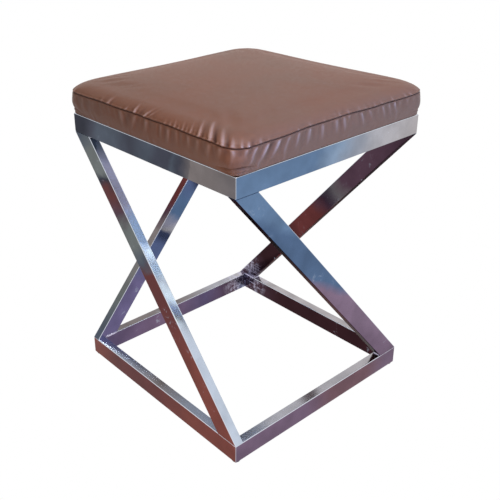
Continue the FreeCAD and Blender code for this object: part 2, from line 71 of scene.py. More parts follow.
LOG = logging.getLogger("stool")
MM = 0.001
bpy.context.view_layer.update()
BODY = next(iter(frame["bodies"]))
UP = Vector((0, 0, 1))
TUBE_HEIGHT = 30 * MM
TUBE_DEPTH = 15 * MM
WHITE = (1, 1, 1, 1)
FACE_EDGE = 0.6  # cosine at which a tube's flat face ends
STROKES = (((0.75, 0.5, 0.6), (430, 430, 38)), ((-0.6, 0.7, -0.8), (40, 450, 450)))  # turn, scale


class Side(Enum):
    """Side of the stool, in the order in which the slanted bars lead round it."""

    FRONT = 0
    RIGHT = 1
    BACK = 2
    LEFT = 3

    @property
    def word(self) -> str:
        """Name of the side as the nodes have it."""
        return self.name.lower()

    @property
    def turn(self) -> Matrix:
        """Turn about the upright axis that brings the front side here."""
        return Matrix.Rotation(math.radians(90 * self.value), 4, "Z")

    @property
    def outward(self) -> Vector:
        """Level direction that the side faces."""
        return self.turn @ Vector((0, -1, 0))

    @property
    def run(self) -> Vector:
        """Level direction along the side, from the head of its bar to the foot."""
        return self.turn @ Vector((1, 0, 0))


class Region(Enum):
    """Part of the cushion's cover, by the material index of its faces."""

    TOP = 0
    BAND = 1


class Tint(Enum):
    """Painted reflections: colours of the surroundings that the polished steel shows, painted into its base
    colour.
    """

    INK = (0.16, 0.17, 0.22)
    GUNMETAL = (0.24, 0.25, 0.30)
    SLATE = (0.29, 0.32, 0.37)
    MOSS = (0.39, 0.41, 0.41)
    ASH = (0.40, 0.38, 0.39)
    TAUPE = (0.48, 0.45, 0.45)
    SKY = (0.38, 0.48, 0.61)
    AZURE = (0.31, 0.40, 0.53)
    STEEL = (0.52, 0.60, 0.70)
    PEARL = (0.55, 0.58, 0.64)
    HAZE = (0.72, 0.76, 0.82)
    GLEAM = (0.86, 0.93, 0.99)
    SILVER = (0.65, 0.65, 0.68)
    CHALK = (0.68, 0.66, 0.67)
    BRICK = (0.45, 0.23, 0.20)
    MAROON = (0.36, 0.18, 0.18)
    WINE = (0.19, 0.10, 0.12)
    PLUM = (0.29, 0.21, 0.26)
    ROSE = (0.43, 0.31, 0.35)
    MAUVE = (0.49, 0.41, 0.50)
    HEATHER = (0.43, 0.35, 0.44)
    LILAC = (0.53, 0.53, 0.60)
    VIOLET = (0.39, 0.36, 0.50)
    DUSK = (0.34, 0.30, 0.42)
    INDIGO = (0.32, 0.37, 0.52)


Stops = tuple[tuple[float, Tint], ...]


def painted_reflections(text: str) -> Stops:
    """Read the painted reflections along a tube's face.

    Args:
        text: the painted reflection colours in order, each with its places in hundredths of the tube's
            length.

    Returns:
        The places from 0 to 1, each with its painted reflection colour.
    """
    rows = [entry.split() for entry in text.split(",")]
    return tuple((float(place) / 100, Tint[name]) for name, *places in rows for place in places)


def linear(colour: Triple) -> tuple[float, float, float, float]:
    """Turn a colour as seen on screen into linear light.

    Args:
        colour: red, green and blue from 0 to 1, as seen.

    Returns:
        The same colour in linear light, with an alpha of 1.
    """
    def channel(value: float) -> float:
        """One of the three in linear light."""
        return value / 12.92 if value <= 0.04045 else ((value + 0.055) / 1.055) ** 2.4

    return (*(channel(value) for value in colour), 1.0)


class Wiring:
    """Nodes of one material or node group, with short ways to add and join them."""

    def __init__(self, tree: bpy.types.NodeTree) -> None:
        """Hold the tree that nodes go into."""
        self.tree = tree

    def feed(self, node: bpy.types.Node, inputs: dict) -> None:
        """Give a node's inputs, by name or number, their values or sockets."""
        for key, value in inputs.items():
            if isinstance(value, Socket):
                self.tree.links.new(value, node.inputs[key])
            else:
                node.inputs[key].default_value = value

    def add(self, kind: str, inputs: dict | None = None, **settings: object) -> bpy.types.Node:
        """Add a shader node.

        Args:
            kind: the node's type, after the words that all of them begin with.
            inputs: values or sockets for its inputs, by name or number.
            settings: values for the node's own properties.

        Returns:
            The new node.
        """
        node = self.tree.nodes.new("ShaderNode" + kind)
        for name, value in settings.items():
            setattr(node, name, value)
        self.feed(node, inputs or {})
        return node

    def math(self, operation: str, *values: object, clamp: bool = False) -> Socket:
        """Result of a Math node on up to three values or sockets."""
        inputs = dict(enumerate(values))
        return self.add("Math", inputs, operation=operation, use_clamp=clamp).outputs[0]

    def vector(self, operation: str, first: object, second: object, output: str = "Vector") -> Socket:
        """Result of a Vector Math node on two vectors."""
        return self.add("VectorMath", {0: first, 1: second}, operation=operation).outputs[output]

    def dot(self, first: object, second: object) -> Socket:
        """Dot product of two vectors."""
        return self.vector("DOT_PRODUCT", first, second, "Value")

    def span(self, value: object, low: object, high: object, smooth: bool = False) -> Socket:
        """Map a value from low..high to 0..1, held within it."""
        kind = "SMOOTHSTEP" if smooth else "LINEAR"
        inputs = {"Value": value, "From Min": low, "From Max": high}
        return self.add("MapRange", inputs, interpolation_type=kind).outputs[0]

    def mix(self, factor: object, first: object, second: object, blend: str = "MIX") -> Socket:
        """Mix two colours by a factor."""
        inputs = {0: factor, 6: first, 7: second}
        return self.add("Mix", inputs, data_type="RGBA", blend_type=blend).outputs[2]

    def stain(self, colour: object, mask: Socket, strength: float, towards: Triple) -> Socket:
        """Mix a colour as seen into another, where a mask is and as strongly as told."""
        return self.mix(self.math("MULTIPLY", mask, strength), colour, linear(towards))

    def shaded(self, colour: object, shade: Socket) -> Socket:
        """Darken a colour by a grey value."""
        grey = self.add("CombineColor", {0: shade, 1: shade, 2: shade}).outputs[0]
        return self.mix(1.0, colour, grey, "MULTIPLY")

    def cloudy(self, scale: float, first: Triple, second: Triple) -> tuple[Socket, Socket]:
        """Uneven tone between two colours as seen, and the mask of a finer fleck."""
        masks = self.group(CLOUDS, Scale=scale)
        return self.mix(masks["Cloud"], linear(first), linear(second)), masks["Fleck"]

    def ramp(self, factor: object, stops: Stops) -> Socket:
        """Colour along a ramp of painted reflection colours.

        Args:
            factor: place along the ramp, 0 to 1.
            stops: places and painted reflection colours, in order.

        Returns:
            The colour socket.
        """
        node = self.add("ValToRGB", {0: factor})
        elements = node.color_ramp.elements
        while len(elements) < len(stops):
            elements.new(1.0)
        for element, (place, tint) in zip(elements, stops):
            element.position = place
            element.color = linear(tint.value)
        return node.outputs[0]

    def noise(self, where: object, scale: object, detail: float = 3.0, warp: float = 0.0) -> Socket:
        """Value of a noise texture at a place, with a scale per metre."""
        inputs = {"Vector": where, "Scale": scale, "Detail": detail, "Distortion": warp}
        return self.add("TexNoise", inputs).outputs[0]

    def place(self) -> Socket:
        """Place on the piece, in metres."""
        return self.add("TexCoord").outputs["Object"]

    def normal(self) -> Socket:
        """Way that the surface faces."""
        return self.add("TexCoord").outputs["Normal"]

    def parts(self, vector: Socket) -> bpy.types.bpy_prop_collection:
        """The three numbers of a vector."""
        return self.add("SeparateXYZ", {0: vector}).outputs

    def mapped(self, where: object, scale: Triple, turn: Triple = (0, 0, 0)) -> Socket:
        """Place turned, then scaled apart along each axis."""
        return self.add("Mapping", {"Vector": where, "Rotation": turn, "Scale": scale}).outputs[0]

    def bump(self, height: object, strength: float, distance: float) -> Socket:
        """Normal from a height."""
        inputs = {"Height": height, "Strength": strength, "Distance": distance}
        return self.add("Bump", inputs).outputs[0]

    def group(self, tree: bpy.types.NodeTree, **inputs: object) -> bpy.types.bpy_prop_collection:
        """Outputs of a node group that is given its own values."""
        return self.add("Group", inputs, node_tree=tree).outputs


def new_group(recipe: Callable[[Wiring, dict], dict], **inputs: object) -> bpy.types.NodeTree:
    """Make a node group.

    Args:
        recipe: takes the wiring and the input sockets, and gives the outputs by name.
        inputs: first value of each input. Three numbers make a vector input.

    Returns:
        The group.
    """
    tree = bpy.data.node_groups.new(recipe.__name__, "ShaderNodeTree")
    for label, value in inputs.items():
        kind = "NodeSocketVector" if isinstance(value, tuple) else "NodeSocketFloat"
        tree.interface.new_socket(label, in_out="INPUT", socket_type=kind).default_value = value
    wiring = Wiring(tree)
    outputs = recipe(wiring, tree.nodes.new("NodeGroupInput").outputs)
    for label in outputs:
        tree.interface.new_socket(label, in_out="OUTPUT", socket_type="NodeSocketFloat")
    wiring.feed(tree.nodes.new("NodeGroupOutput"), outputs)
    return tree


def tube_faces(wiring: Wiring, given: dict) -> dict[str, Socket]:
    """Masks of a tube's four faces, and of a painted highlight on its rounded edges that is strongest where
    they face up.
    """
    normal = wiring.normal()
    found, squares = {}, []
    for axis, plus, minus in (("Outward", "Outer", "Inner"), ("Upward", "Upper", "Under")):
        facing = wiring.dot(normal, given[axis])
        squares.append(wiring.math("MULTIPLY", facing, facing))
        for label, limit in ((plus, FACE_EDGE), (minus, -FACE_EDGE)):
            found[label] = wiring.span(facing, limit * 0.9, limit * 1.1)
    flattest = wiring.math("MAXIMUM", *squares)
    edge = wiring.span(wiring.math("SUBTRACT", 1.0, flattest), 0.05, 0.3, smooth=True)
    lit = wiring.span(wiring.dot(normal, UP), -0.3, 0.5)
    return {**found, "Edge": wiring.math("MULTIPLY", edge, lit)}


def smudge_marks(wiring: Wiring, given: dict) -> dict[str, Socket]:
    """Soft blotches and fingermarks on polished metal."""
    where = wiring.place()
    blotch = wiring.noise(where, given["Scale"], 4.0)
    inner = wiring.noise(where, wiring.math("MULTIPLY", given["Scale"], 3.4), 2.0, 1.4)
    marks = wiring.span(inner, given["Cover"], wiring.math("ADD", given["Cover"], 0.12))
    patch = wiring.span(blotch, 0.58, 0.66)
    return {"Blotch": wiring.span(blotch, 0.35, 0.65), "Mark": wiring.math("MULTIPLY", marks, patch)}


def grinding_marks(wiring: Wiring, given: dict) -> dict[str, Socket]:
    """Crossed scratches that fade away from a dressed weld."""
    where = wiring.place()
    distance = wiring.vector("DISTANCE", where, given["Centre"], "Value")
    share = wiring.math("DIVIDE", distance, given["Reach"])
    near = wiring.math("MULTIPLY", wiring.math("SUBTRACT", 1.1, share, clamp=True), 2.0, clamp=True)
    strokes = []
    for turn, scale in STROKES:
        line = wiring.noise(wiring.mapped(where, scale, turn), 1.0, 2.0)
        strokes.append(wiring.span(line, 0.46, 0.62))
    ragged = wiring.span(wiring.noise(where, 120.0), 0.36, 0.52)
    crossed = wiring.math("MULTIPLY", wiring.math("MAXIMUM", *strokes), ragged)
    return {"Mask": wiring.math("MULTIPLY", crossed, near)}


def cloudy_mask(wiring: Wiring, given: dict) -> dict[str, Socket]:
    """Broad uneven shading and a finer fleck over it."""
    where = wiring.place()
    cloud = wiring.noise(where, given["Scale"], 5.0, 0.6)
    fleck = wiring.noise(where, wiring.math("MULTIPLY", given["Scale"], 22.0), 3.0)
    return {"Cloud": wiring.span(cloud, 0.3, 0.7), "Fleck": wiring.span(fleck, 0.3, 0.7)}


def pebble_grain(wiring: Wiring, given: dict) -> dict[str, Socket]:
    """Height of a pebbled surface, such as leather or cast metal."""
    where = wiring.place()
    warp = wiring.add("TexNoise", {"Vector": where, "Scale": 60.0, "Detail": 2.0}).outputs["Color"]
    moved = wiring.vector("ADD", where, wiring.vector("MULTIPLY", warp, (0.004,) * 3))
    cells = wiring.add("TexVoronoi", {"Vector": moved, "Scale": given["Scale"]}, feature="DISTANCE_TO_EDGE")
    pebbles = wiring.span(cells.outputs["Distance"], 0.0, 0.22, smooth=True)
    tiny = wiring.noise(where, given["Scale"], 2.0)
    return {"Height": wiring.math("MULTIPLY_ADD", tiny, 0.35, pebbles)}


FACES = new_group(tube_faces, Outward=(0, -1, 0), Upward=(0, 0, 1))
SMUDGES = new_group(smudge_marks, Scale=60.0, Cover=0.5)
GRINDING = new_group(grinding_marks, Centre=(0, 0, 0), Reach=0.03)
CLOUDS = new_group(cloudy_mask, Scale=12.0)
PEBBLE = new_group(pebble_grain, Scale=900.0)


def new_material(name: str) -> tuple[bpy.types.Material, Wiring, bpy.types.Node]:
    """Make an empty material.

    Args:
        name: the material's name.

    Returns:
        The material, its wiring, and its surface shader.
    """
    material = bpy.data.materials.new(name)
    material.use_nodes = True
    return material, Wiring(material.node_tree), material.node_tree.nodes["Principled BSDF"]


def dress(piece: Piece, material: bpy.types.Material) -> None:
    """Give a piece one material all over."""
    piece.data.materials.clear()
    piece.data.materials.append(material)


@dataclass(frozen=True)
class Finish:
    """A material. Each kind of finish says what its surface shader takes."""

    name: str

    def surface(self, wiring: Wiring) -> dict[str, object]:
        """Values and sockets for the shader's inputs, by name."""
        raise NotImplementedError

    def make(self) -> bpy.types.Material:
        """Build the material."""
        material, wiring, shader = new_material(self.name)
        wiring.feed(shader, self.surface(wiring))
        return material


@dataclass(frozen=True)
class TubeReflections:
    """Painted reflections along each face of a polished tube, and how far they lean across it."""

    outer: Stops
    inner: Stops
    upper: Stops
    under: Stops
    lean: float = 0.0


@dataclass(frozen=True)
class TubeLine:
    """Where a tube runs: its middle, its direction, the way its faces point and its length."""

    middle: Vector
    along: Vector
    outward: Vector
    upward: Vector
    length: float


@dataclass(frozen=True)
class PolishedSteel(Finish):
    """Mirror-polished steel tube with painted reflections by face and place, a painted highlight on its
    rounded edges, smudges and ground welds.
    """

    line: TubeLine
    painted_reflections: TubeReflections
    welds: tuple[Vector, ...] = ()
    roughness: float = 0.16
    wander: float = 0.10
    wander_scale: float = 26.0
    blotch: float = 0.26
    smudge_scale: float = 24.0
    smudge_cover: float = 0.60
    smudge_share: float = 0.35
    smudge_dull: float = 0.14
    ground_share: float = 0.7
    ground_dull: float = 0.22
    edge_highlight_share: float = 0.8
    rim_tint: float = 0.22
    under_rim_tint: float = 0.60
    drawn_depth: float = 0.2 * MM
    drawn_strength: float = 0.008
    smudge: Triple = (0.72, 0.76, 0.82)
    ground: Triple = (0.80, 0.79, 0.88)
    edge_highlight: Triple = (0.90, 0.92, 0.96)
    grinding_reach: float = 0.056
    drawn_across: float = 1400.0
    drawn_along: float = 60.0

    def surface(self, wiring: Wiring) -> dict[str, object]:
        """Paint the mirror's reflections into the base colour by face and by place along the tube, then mark
        it and paint a highlight on its edges.
        """
        line = self.line
        where = wiring.place()
        offset = wiring.vector("SUBTRACT", where, line.middle)
        station = wiring.math("DIVIDE", wiring.dot(offset, line.along), line.length)
        across = wiring.math("DIVIDE", wiring.dot(offset, line.upward), TUBE_HEIGHT)
        drift = wiring.math("SUBTRACT", wiring.noise(where, self.wander_scale, 4.0, 0.5), 0.5)
        place = wiring.math("MULTIPLY_ADD", drift, self.wander, wiring.math("ADD", station, 0.5))
        place = wiring.math("MULTIPLY_ADD", across, -self.painted_reflections.lean, place)
        masks = wiring.group(FACES, Outward=line.outward, Upward=line.upward)
        # painted reflections: each face's base colour follows the colours its mirror shows along the tube
        colour = wiring.ramp(place, self.painted_reflections.under)
        for face in ("upper", "outer", "inner"):
            reflected = wiring.ramp(place, getattr(self.painted_reflections, face))
            colour = wiring.mix(masks[face.title()], colour, reflected)
        marks = wiring.group(SMUDGES, Scale=self.smudge_scale, Cover=self.smudge_cover)
        shade = wiring.math("MULTIPLY_ADD", marks["Blotch"], self.blotch, 1 - self.blotch / 2)
        colour = wiring.stain(wiring.shaded(colour, shade), marks["Mark"], self.smudge_share, self.smudge)
        roughness = wiring.math("MULTIPLY_ADD", marks["Mark"], self.smudge_dull, self.roughness)
        for weld in self.welds:
            scraped = wiring.group(GRINDING, Centre=weld, Reach=self.grinding_reach)[0]
            colour = wiring.stain(colour, scraped, self.ground_share, self.ground)
            roughness = wiring.math("MULTIPLY_ADD", scraped, self.ground_dull, roughness)
        # painted highlight along the rounded edges, strongest where they face up
        colour = wiring.stain(colour, masks["Edge"], self.edge_highlight_share, self.edge_highlight)
        lengthwise = self.drawn_across - self.drawn_along
        scale = tuple(self.drawn_across - lengthwise * abs(part) for part in line.along)
        drawn = wiring.noise(wiring.mapped(offset, scale), 1.0, 2.0)
        share = wiring.math("MULTIPLY_ADD", masks["Under"], self.under_rim_tint, self.rim_tint)
        return {"Base Color": colour, "Metallic": 1.0, "Roughness": roughness,
                "Specular Tint": wiring.mix(share, WHITE, colour),
                "Normal": wiring.bump(drawn, self.drawn_strength, self.drawn_depth)}


@dataclass(frozen=True)
class PlainMetal(Finish):
    """Small metal parts with uneven tone and a light texture."""

    colour: Triple
    shadow: Triple
    roughness: float
    grain_scale: float = 700.0
    grain_strength: float = 0.2

    def surface(self, wiring: Wiring) -> dict[str, object]:
        """Cloudy metal with a pebbled height."""
        tone, fleck = wiring.cloudy(60.0, self.shadow, self.colour)
        grain = wiring.group(PEBBLE, Scale=self.grain_scale)[0]
        return {"Base Color": tone, "Metallic": 1.0,
                "Roughness": wiring.math("MULTIPLY_ADD", fleck, 0.18, self.roughness),
                "Normal": wiring.bump(grain, self.grain_strength, 0.0002)}


@dataclass(frozen=True)
class Leather(Finish):
    """Soft coated leather, with painted shade in its creases and along its seam, and painted highlights on
    its ridges.
    """

    colour: Triple = (0.40, 0.267, 0.20)
    warm: Triple = (0.42, 0.255, 0.18)
    # painted shade colour for fold valleys and the seam groove, then painted highlight colour for fold ridges
    crease: Triple = (0.19, 0.10, 0.08)
    ridge_highlight: Triple = (0.62, 0.49, 0.44)
    roughness: float = 0.38
    gloss: float = 0.13
    fold_shade_share: float = 0.9
    ridge_highlight_share: float = 0.85
    ripple: float = 1.6
    ripple_scale: float = 95.0
    bump_strength: float = 0.22
    bump_depth: float = 0.3 * MM
    grain_scale: float = 820.0

    def surface(self, wiring: Wiring) -> dict[str, object]:
        """Read the piece's painted shading, where 0.5 is smooth leather, lower is painted shade and higher is
        painted highlight.
        """
        tone, fleck = wiring.cloudy(9.0, self.colour, self.warm)
        tone = wiring.shaded(tone, wiring.math("MULTIPLY_ADD", fleck, 0.10, 0.95))
        fold = wiring.add("Attribute", attribute_name="crease").outputs["Fac"]
        # painted shade in fold valleys and the seam groove, painted highlight on fold ridges
        tone = wiring.stain(tone, wiring.span(fold, 0.5, 0.0), self.fold_shade_share, self.crease)
        tone = wiring.stain(tone, wiring.span(fold, 0.55, 1.0), self.ridge_highlight_share, self.ridge_highlight)
        grain = wiring.group(PEBBLE, Scale=self.grain_scale)[0]
        ripple = wiring.noise(wiring.place(), self.ripple_scale)
        height = wiring.math("MULTIPLY_ADD", ripple, self.ripple, grain)
        return {"Base Color": tone, "Specular IOR Level": self.gloss,
                "Roughness": wiring.math("MULTIPLY_ADD", fleck, 0.1, self.roughness),
                "Normal": wiring.bump(height, self.bump_strength, self.bump_depth)}


@dataclass(frozen=True)
class MattePart(Finish):
    """Unpolished part with cloudy tone and a fine texture: foam, nylon or the like."""

    colour: Triple
    shadow: Triple
    roughness: float
    cloud_scale: float
    grain_scale: float
    grain_strength: float

    def surface(self, wiring: Wiring) -> dict[str, object]:
        """Cloudy tone, flecked with its shadow."""
        tone, fleck = wiring.cloudy(self.cloud_scale, self.colour, self.shadow)
        grain = wiring.group(PEBBLE, Scale=self.grain_scale)[0]
        return {"Base Color": wiring.stain(tone, fleck, 0.3, self.shadow), "Roughness": self.roughness,
                "Normal": wiring.bump(grain, self.grain_strength, 0.0003)}


@dataclass(frozen=True)
class WovenCloth(Finish):
    """Thin grey nonwoven cloth with an embossed weave."""

    thread: float = 1.1 * MM
    low: Triple = (0.62, 0.62, 0.63)
    high: Triple = (0.70, 0.70, 0.71)
    raised: Triple = (0.76, 0.76, 0.77)

    def surface(self, wiring: Wiring) -> dict[str, object]:
        """Crossed waves, paler where they stand up."""
        where = wiring.parts(wiring.place())
        turns = [wiring.math("MULTIPLY", where[axis], math.tau / self.thread) for axis in (0, 1)]
        weave = wiring.math("MULTIPLY", *(wiring.math("SINE", turn) for turn in turns))
        tone, _ = wiring.cloudy(30.0, self.low, self.high)
        return {"Base Color": wiring.stain(tone, wiring.span(weave, 0.2, 0.9), 1.0, self.raised),
                "Roughness": 0.9, "Normal": wiring.bump(weave, 0.1, 0.0002)}


@dataclass(frozen=True)
class Plywood(Finish):
    """Birch plywood with plies that show at the edge and grain along the faces."""

    ply: float = 1.5 * MM
    face: tuple[Triple, Triple] = ((0.80, 0.66, 0.48), (0.66, 0.50, 0.33))
    edge: tuple[Triple, Triple] = ((0.74, 0.59, 0.41), (0.48, 0.33, 0.21))

    def surface(self, wiring: Wiring) -> dict[str, object]:
        """Grain where the surface is level, plies where it is upright."""
        where = wiring.place()
        grain = wiring.noise(wiring.mapped(where, (420.0, 14.0, 420.0)), 1.0, 4.0, 0.4)
        face = wiring.mix(wiring.span(grain, 0.35, 0.65), *(linear(tone) for tone in self.face))
        height = wiring.parts(where)[2]
        layer = wiring.math("SINE", wiring.math("MULTIPLY", height, math.pi / self.ply))
        plies = wiring.mix(wiring.span(layer, -0.2, 0.2), *(linear(tone) for tone in self.edge))
        level = wiring.span(wiring.math("ABSOLUTE", wiring.parts(wiring.normal())[2]), 0.4, 0.6)
        return {"Base Color": wiring.mix(level, plies, face), "Roughness": 0.7,
                "Normal": wiring.bump(grain, 0.2, 0.0003)}


# Painted reflections: the colours each tube face mirrors, painted along it into the base colour.
DARK_UNDER = painted_reflections("PLUM 0, WINE 30, MAROON 70, WINE 100")
COLD_BAR_OUTER = painted_reflections("SKY 0 12, AZURE 20 46, MAUVE 56 76, HEATHER 92 100")
COLD_BAR_INNER = painted_reflections("INDIGO 0 38, AZURE 45 50, LILAC 54, SILVER 57.5, INDIGO 59 68, VIOLET 78 100")
WARM_BAR = TubeReflections(
    painted_reflections("SLATE 0, MOSS 5 13, INK 16, MAROON 20, PLUM 27, MOSS 32 39, SLATE 44, MAROON 48 62, BRICK 78 100"),
    painted_reflections("PLUM 0 28, ASH 36, PLUM 42, MAROON 48 58, WINE 72 84, PLUM 100"),
    painted_reflections("GUNMETAL 0, SLATE 6, LILAC 13 24, STEEL 32 38, GLEAM 42 47, HAZE 52, GLEAM 57 63, HAZE 67 100"),
    DARK_UNDER, 0.01)
BAR_REFLECTIONS: dict[Side, TubeReflections] = {
    Side.FRONT: WARM_BAR,
    Side.RIGHT: TubeReflections(COLD_BAR_OUTER, COLD_BAR_INNER, painted_reflections("STEEL 0, HAZE 100"), DARK_UNDER, 0.18),
    Side.BACK: WARM_BAR,
    Side.LEFT: TubeReflections(
        COLD_BAR_OUTER, COLD_BAR_INNER, painted_reflections("MAROON 0 44, PLUM 50, TAUPE 60, MOSS 85, SLATE 100"),
        painted_reflections("SILVER 0, STEEL 100"), 0.01),
}
PALE_UPPER = painted_reflections("SILVER 0, STEEL 50, CHALK 100")
PALE_INNER = painted_reflections("HAZE 0, STEEL 100")
DARK_TOP_RAIL = TubeReflections(
    painted_reflections("INK 0 7, GUNMETAL 12, SLATE 18 28, GUNMETAL 40, SLATE 52, GUNMETAL 58 63, SLATE 66, "
          "GUNMETAL 70, ASH 75.5, TAUPE 76 88, ASH 100"),
    PALE_INNER, PALE_UPPER, PALE_INNER, 0.02)
BLUE_TOP_RAIL = TubeReflections(
    painted_reflections("SKY 0 38, STEEL 50, PEARL 60, SILVER 72, CHALK 100"), PALE_INNER, PALE_UPPER, PALE_INNER, 0.04)
TOP_REFLECTIONS: dict[Side, TubeReflections] = {
    Side.FRONT: DARK_TOP_RAIL, Side.RIGHT: BLUE_TOP_RAIL, Side.BACK: DARK_TOP_RAIL, Side.LEFT: BLUE_TOP_RAIL}
RED_OUTER = painted_reflections("BRICK 0, MAROON 20 50, BRICK 72 100")
WARM_INNER = painted_reflections("WINE 0 70, PLUM 100")
MAUVE_OUTER = painted_reflections("HEATHER 0 40, ROSE 56 80, HEATHER 92 100")
BOTTOM_REFLECTIONS: dict[Side, TubeReflections] = {
    Side.FRONT: TubeReflections(
        RED_OUTER, WARM_INNER, painted_reflections("GLEAM 0, HAZE 12, PEARL 26, TAUPE 50, PEARL 70 100"), DARK_UNDER),
    Side.RIGHT: TubeReflections(
        MAUVE_OUTER, painted_reflections("SLATE 0, INDIGO 50, VIOLET 100"), painted_reflections("PEARL 0, SILVER 20, CHALK 100"),
        DARK_UNDER),
    Side.BACK: TubeReflections(RED_OUTER, WARM_INNER, painted_reflections("CHALK 0 100"), DARK_UNDER),
    Side.LEFT: TubeReflections(
        MAUVE_OUTER, painted_reflections("AZURE 0, PLUM 14, DUSK 34, HEATHER 60, DUSK 100"),
        painted_reflections("CHALK 0, SILVER 22, TAUPE 50 85, PEARL 100"), DARK_UNDER),
}


def bar_angle(low: Vector, high: Vector) -> float:
    """Angle at which a slanted bar stands, from its box."""
    rise, reach = high.z - low.z, max(high.x - low.x, high.y - low.y)
    return math.atan2(rise, reach) + math.asin(TUBE_HEIGHT / math.hypot(rise, reach))


@dataclass
class MetalFrame:
    """The welded tube frame: its rails and bars as they were made, each with its own polish and painted
    reflections.
    """

    ground_side: Side = Side.BACK
    made: int = 0

    def bar_line(self, side: Side) -> TubeLine:
        """Line of one slanted bar."""
        low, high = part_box(f"slanted_bar_{side.word}")
        angle = bar_angle(low, high)
        along = side.run * math.cos(angle) - UP * math.sin(angle)
        upward = side.run * math.sin(angle) + UP * math.cos(angle)
        return TubeLine((low + high) / 2, along, side.outward, upward, (high.z - low.z) / math.sin(angle))

    def rail_line(self, side: Side, level: str) -> TubeLine:
        """Line of one top or bottom rail."""
        low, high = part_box(f"{level}_rail_{side.word}")
        length = max(high.x - low.x, high.y - low.y)
        return TubeLine((low + high) / 2, side.run, side.outward, UP, length)

    def ground_weld(self) -> Vector:
        """Inner corner at the foot of the bar whose weld was ground flush."""
        side = self.ground_side
        low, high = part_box(f"bottom_rail_{side.word}")
        half = max(high.x - low.x, high.y - low.y) / 2 - TUBE_DEPTH
        corner = (side.run + side.outward) * half
        return Vector((corner.x, corner.y, high.z))

    def build(self) -> None:
        """Dress every rail and bar."""
        weld = (self.ground_weld(),)
        meeting = (self.ground_side, Side((self.ground_side.value + 1) % 4))
        for side in Side:
            tubes = (
                ("slanted_bar", self.bar_line(side), BAR_REFLECTIONS, side is self.ground_side),
                ("top_rail", self.rail_line(side, "top"), TOP_REFLECTIONS, False),
                ("bottom_rail", self.rail_line(side, "bottom"), BOTTOM_REFLECTIONS, side in meeting),
            )
            for kind, line, table, ground in tubes:
                node = f"{kind}_{side.word}"
                # each tube's material paints its reflections and an edge highlight into its base colour
                steel = PolishedSteel(f"polish_{node}", line, table[side], weld if ground else ())
                dress(frame["nodes"][node], steel.make())
                self.made += 1
        LOG.info("metal frame: %d tubes dressed", self.made)


def select_only(*pieces: Piece) -> None:
    """Make these pieces, or none, the selected ones, and the first of them active."""
    for other in bpy.context.selected_objects:
        other.select_set(False)
    for piece in pieces:
        piece.select_set(True)
    if pieces:
        bpy.context.view_layer.objects.active = pieces[0]


@contextmanager
def editing(piece: Piece, outwards: bool = False) -> Iterator[None]:
    """Open a piece's mesh for edits.

    Args:
        piece: the piece, which becomes the active one.
        outwards: turn all its faces outwards at the end.

    Yields:
        Nothing.
    """
    select_only(piece)
    bpy.ops.object.mode_set(mode="EDIT")
    yield
    if outwards:
        bpy.ops.mesh.select_all(action="SELECT")
        bpy.ops.mesh.normals_make_consistent(inside=False)
    bpy.ops.object.mode_set(mode="OBJECT")


def new_grid(name: str, across: int, along: int, size: float) -> Piece:
    """Make a level square grid of cells round the origin."""
    select_only()
    bpy.ops.mesh.primitive_grid_add(x_subdivisions=across, y_subdivisions=along, size=size)
    piece = bpy.context.active_object
    piece.name = name
    return piece


def doubled(piece: Piece, name: str) -> Piece:
    """Copy a piece and its mesh."""
    double = piece.copy()
    double.data = piece.data.copy()
    double.name = name
    bpy.context.scene.collection.objects.link(double)
    return double


def apply_modifier(piece: Piece, name: str, kind: str, **settings: object) -> None:
    """Add a modifier to a piece and apply it."""
    select_only(piece)
    modifier = piece.modifiers.new(name, kind)
    for setting, value in settings.items():
        setattr(modifier, setting, value)
    bpy.ops.object.modifier_apply(modifier=modifier.name)


def report(piece: Piece, node: str) -> None:
    """Attach a piece to the frame's body and hide the node that it stands for."""
    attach(piece, BODY)
    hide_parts(node)


def read_rows(piece: Piece, name: str = "co") -> np.ndarray:
    """Places of a piece's vertices, or their normals, as rows."""
    values = np.zeros(len(piece.data.vertices) * 3, np.float32)
    piece.data.vertices.foreach_get(name, values)
    return values.reshape(-1, 3).astype(float)


def write_points(piece: Piece, points: np.ndarray) -> None:
    """Move the vertices of a piece to new places."""
    piece.data.vertices.foreach_set("co", points.astype(np.float32).ravel())
    piece.data.update()


def read_value(piece: Piece, name: str) -> np.ndarray:
    """One number for each vertex, from a named attribute."""
    values = np.zeros(len(piece.data.vertices), np.float32)
    piece.data.attributes[name].data.foreach_get("value", values)
    return values.astype(float)


def write_value(piece: Piece, name: str, values: np.ndarray) -> None:
    """Keep one number for each vertex in a named attribute."""
    attribute = piece.data.attributes.new(name, "FLOAT", "POINT")
    attribute.data.foreach_set("value", values.astype(np.float32))


def hump(distance: np.ndarray, width: float, power: int = 2) -> np.ndarray:
    """Smooth rise to 1 where a distance is nought."""
    return np.exp(-((distance / width) ** power))


def ramp_between(value: np.ndarray, low: float, high: float) -> np.ndarray:
    """Share of the way from low to high, from 0 to 1."""
    return np.clip((value - low) / (high - low), 0, 1)


def round_pattern(a: np.ndarray, b: np.ndarray) -> tuple[np.ndarray, np.ndarray, np.ndarray]:
    """Where points of the square pattern lie round its middle.

    Args:
        a: places across the pattern, -1 to 1.
        b: places along it.

    Returns:
        The ring of each point, the number of its side, and its place along that side, -1 to 1.
    """
    ring = np.maximum(np.maximum(np.abs(a), np.abs(b)), 1e-6)
    rim = ring - 1e-6
    side = np.select([-b >= rim, b >= rim, a >= rim], [Side.FRONT.value, Side.BACK.value, Side.RIGHT.value],
                     Side.LEFT.value)
    return ring, side, np.choose(side, [a, b, -a, -b]) / ring


@dataclass(frozen=True)
class Fold:
    """Gather or crease in the cover, from the seam on, in millimetres. It leans by a share of its reach."""

    place: float
    height: float
    width: float
    reach: float
    lean: float = 0.0
    from_foot: bool = False


def folds(text: str) -> tuple[Fold, ...]:
    """Read folds, with a comma after each, from the place, height, width, reach and perhaps lean."""
    return tuple(Fold(*map(float, row.split())) for row in text.split(","))


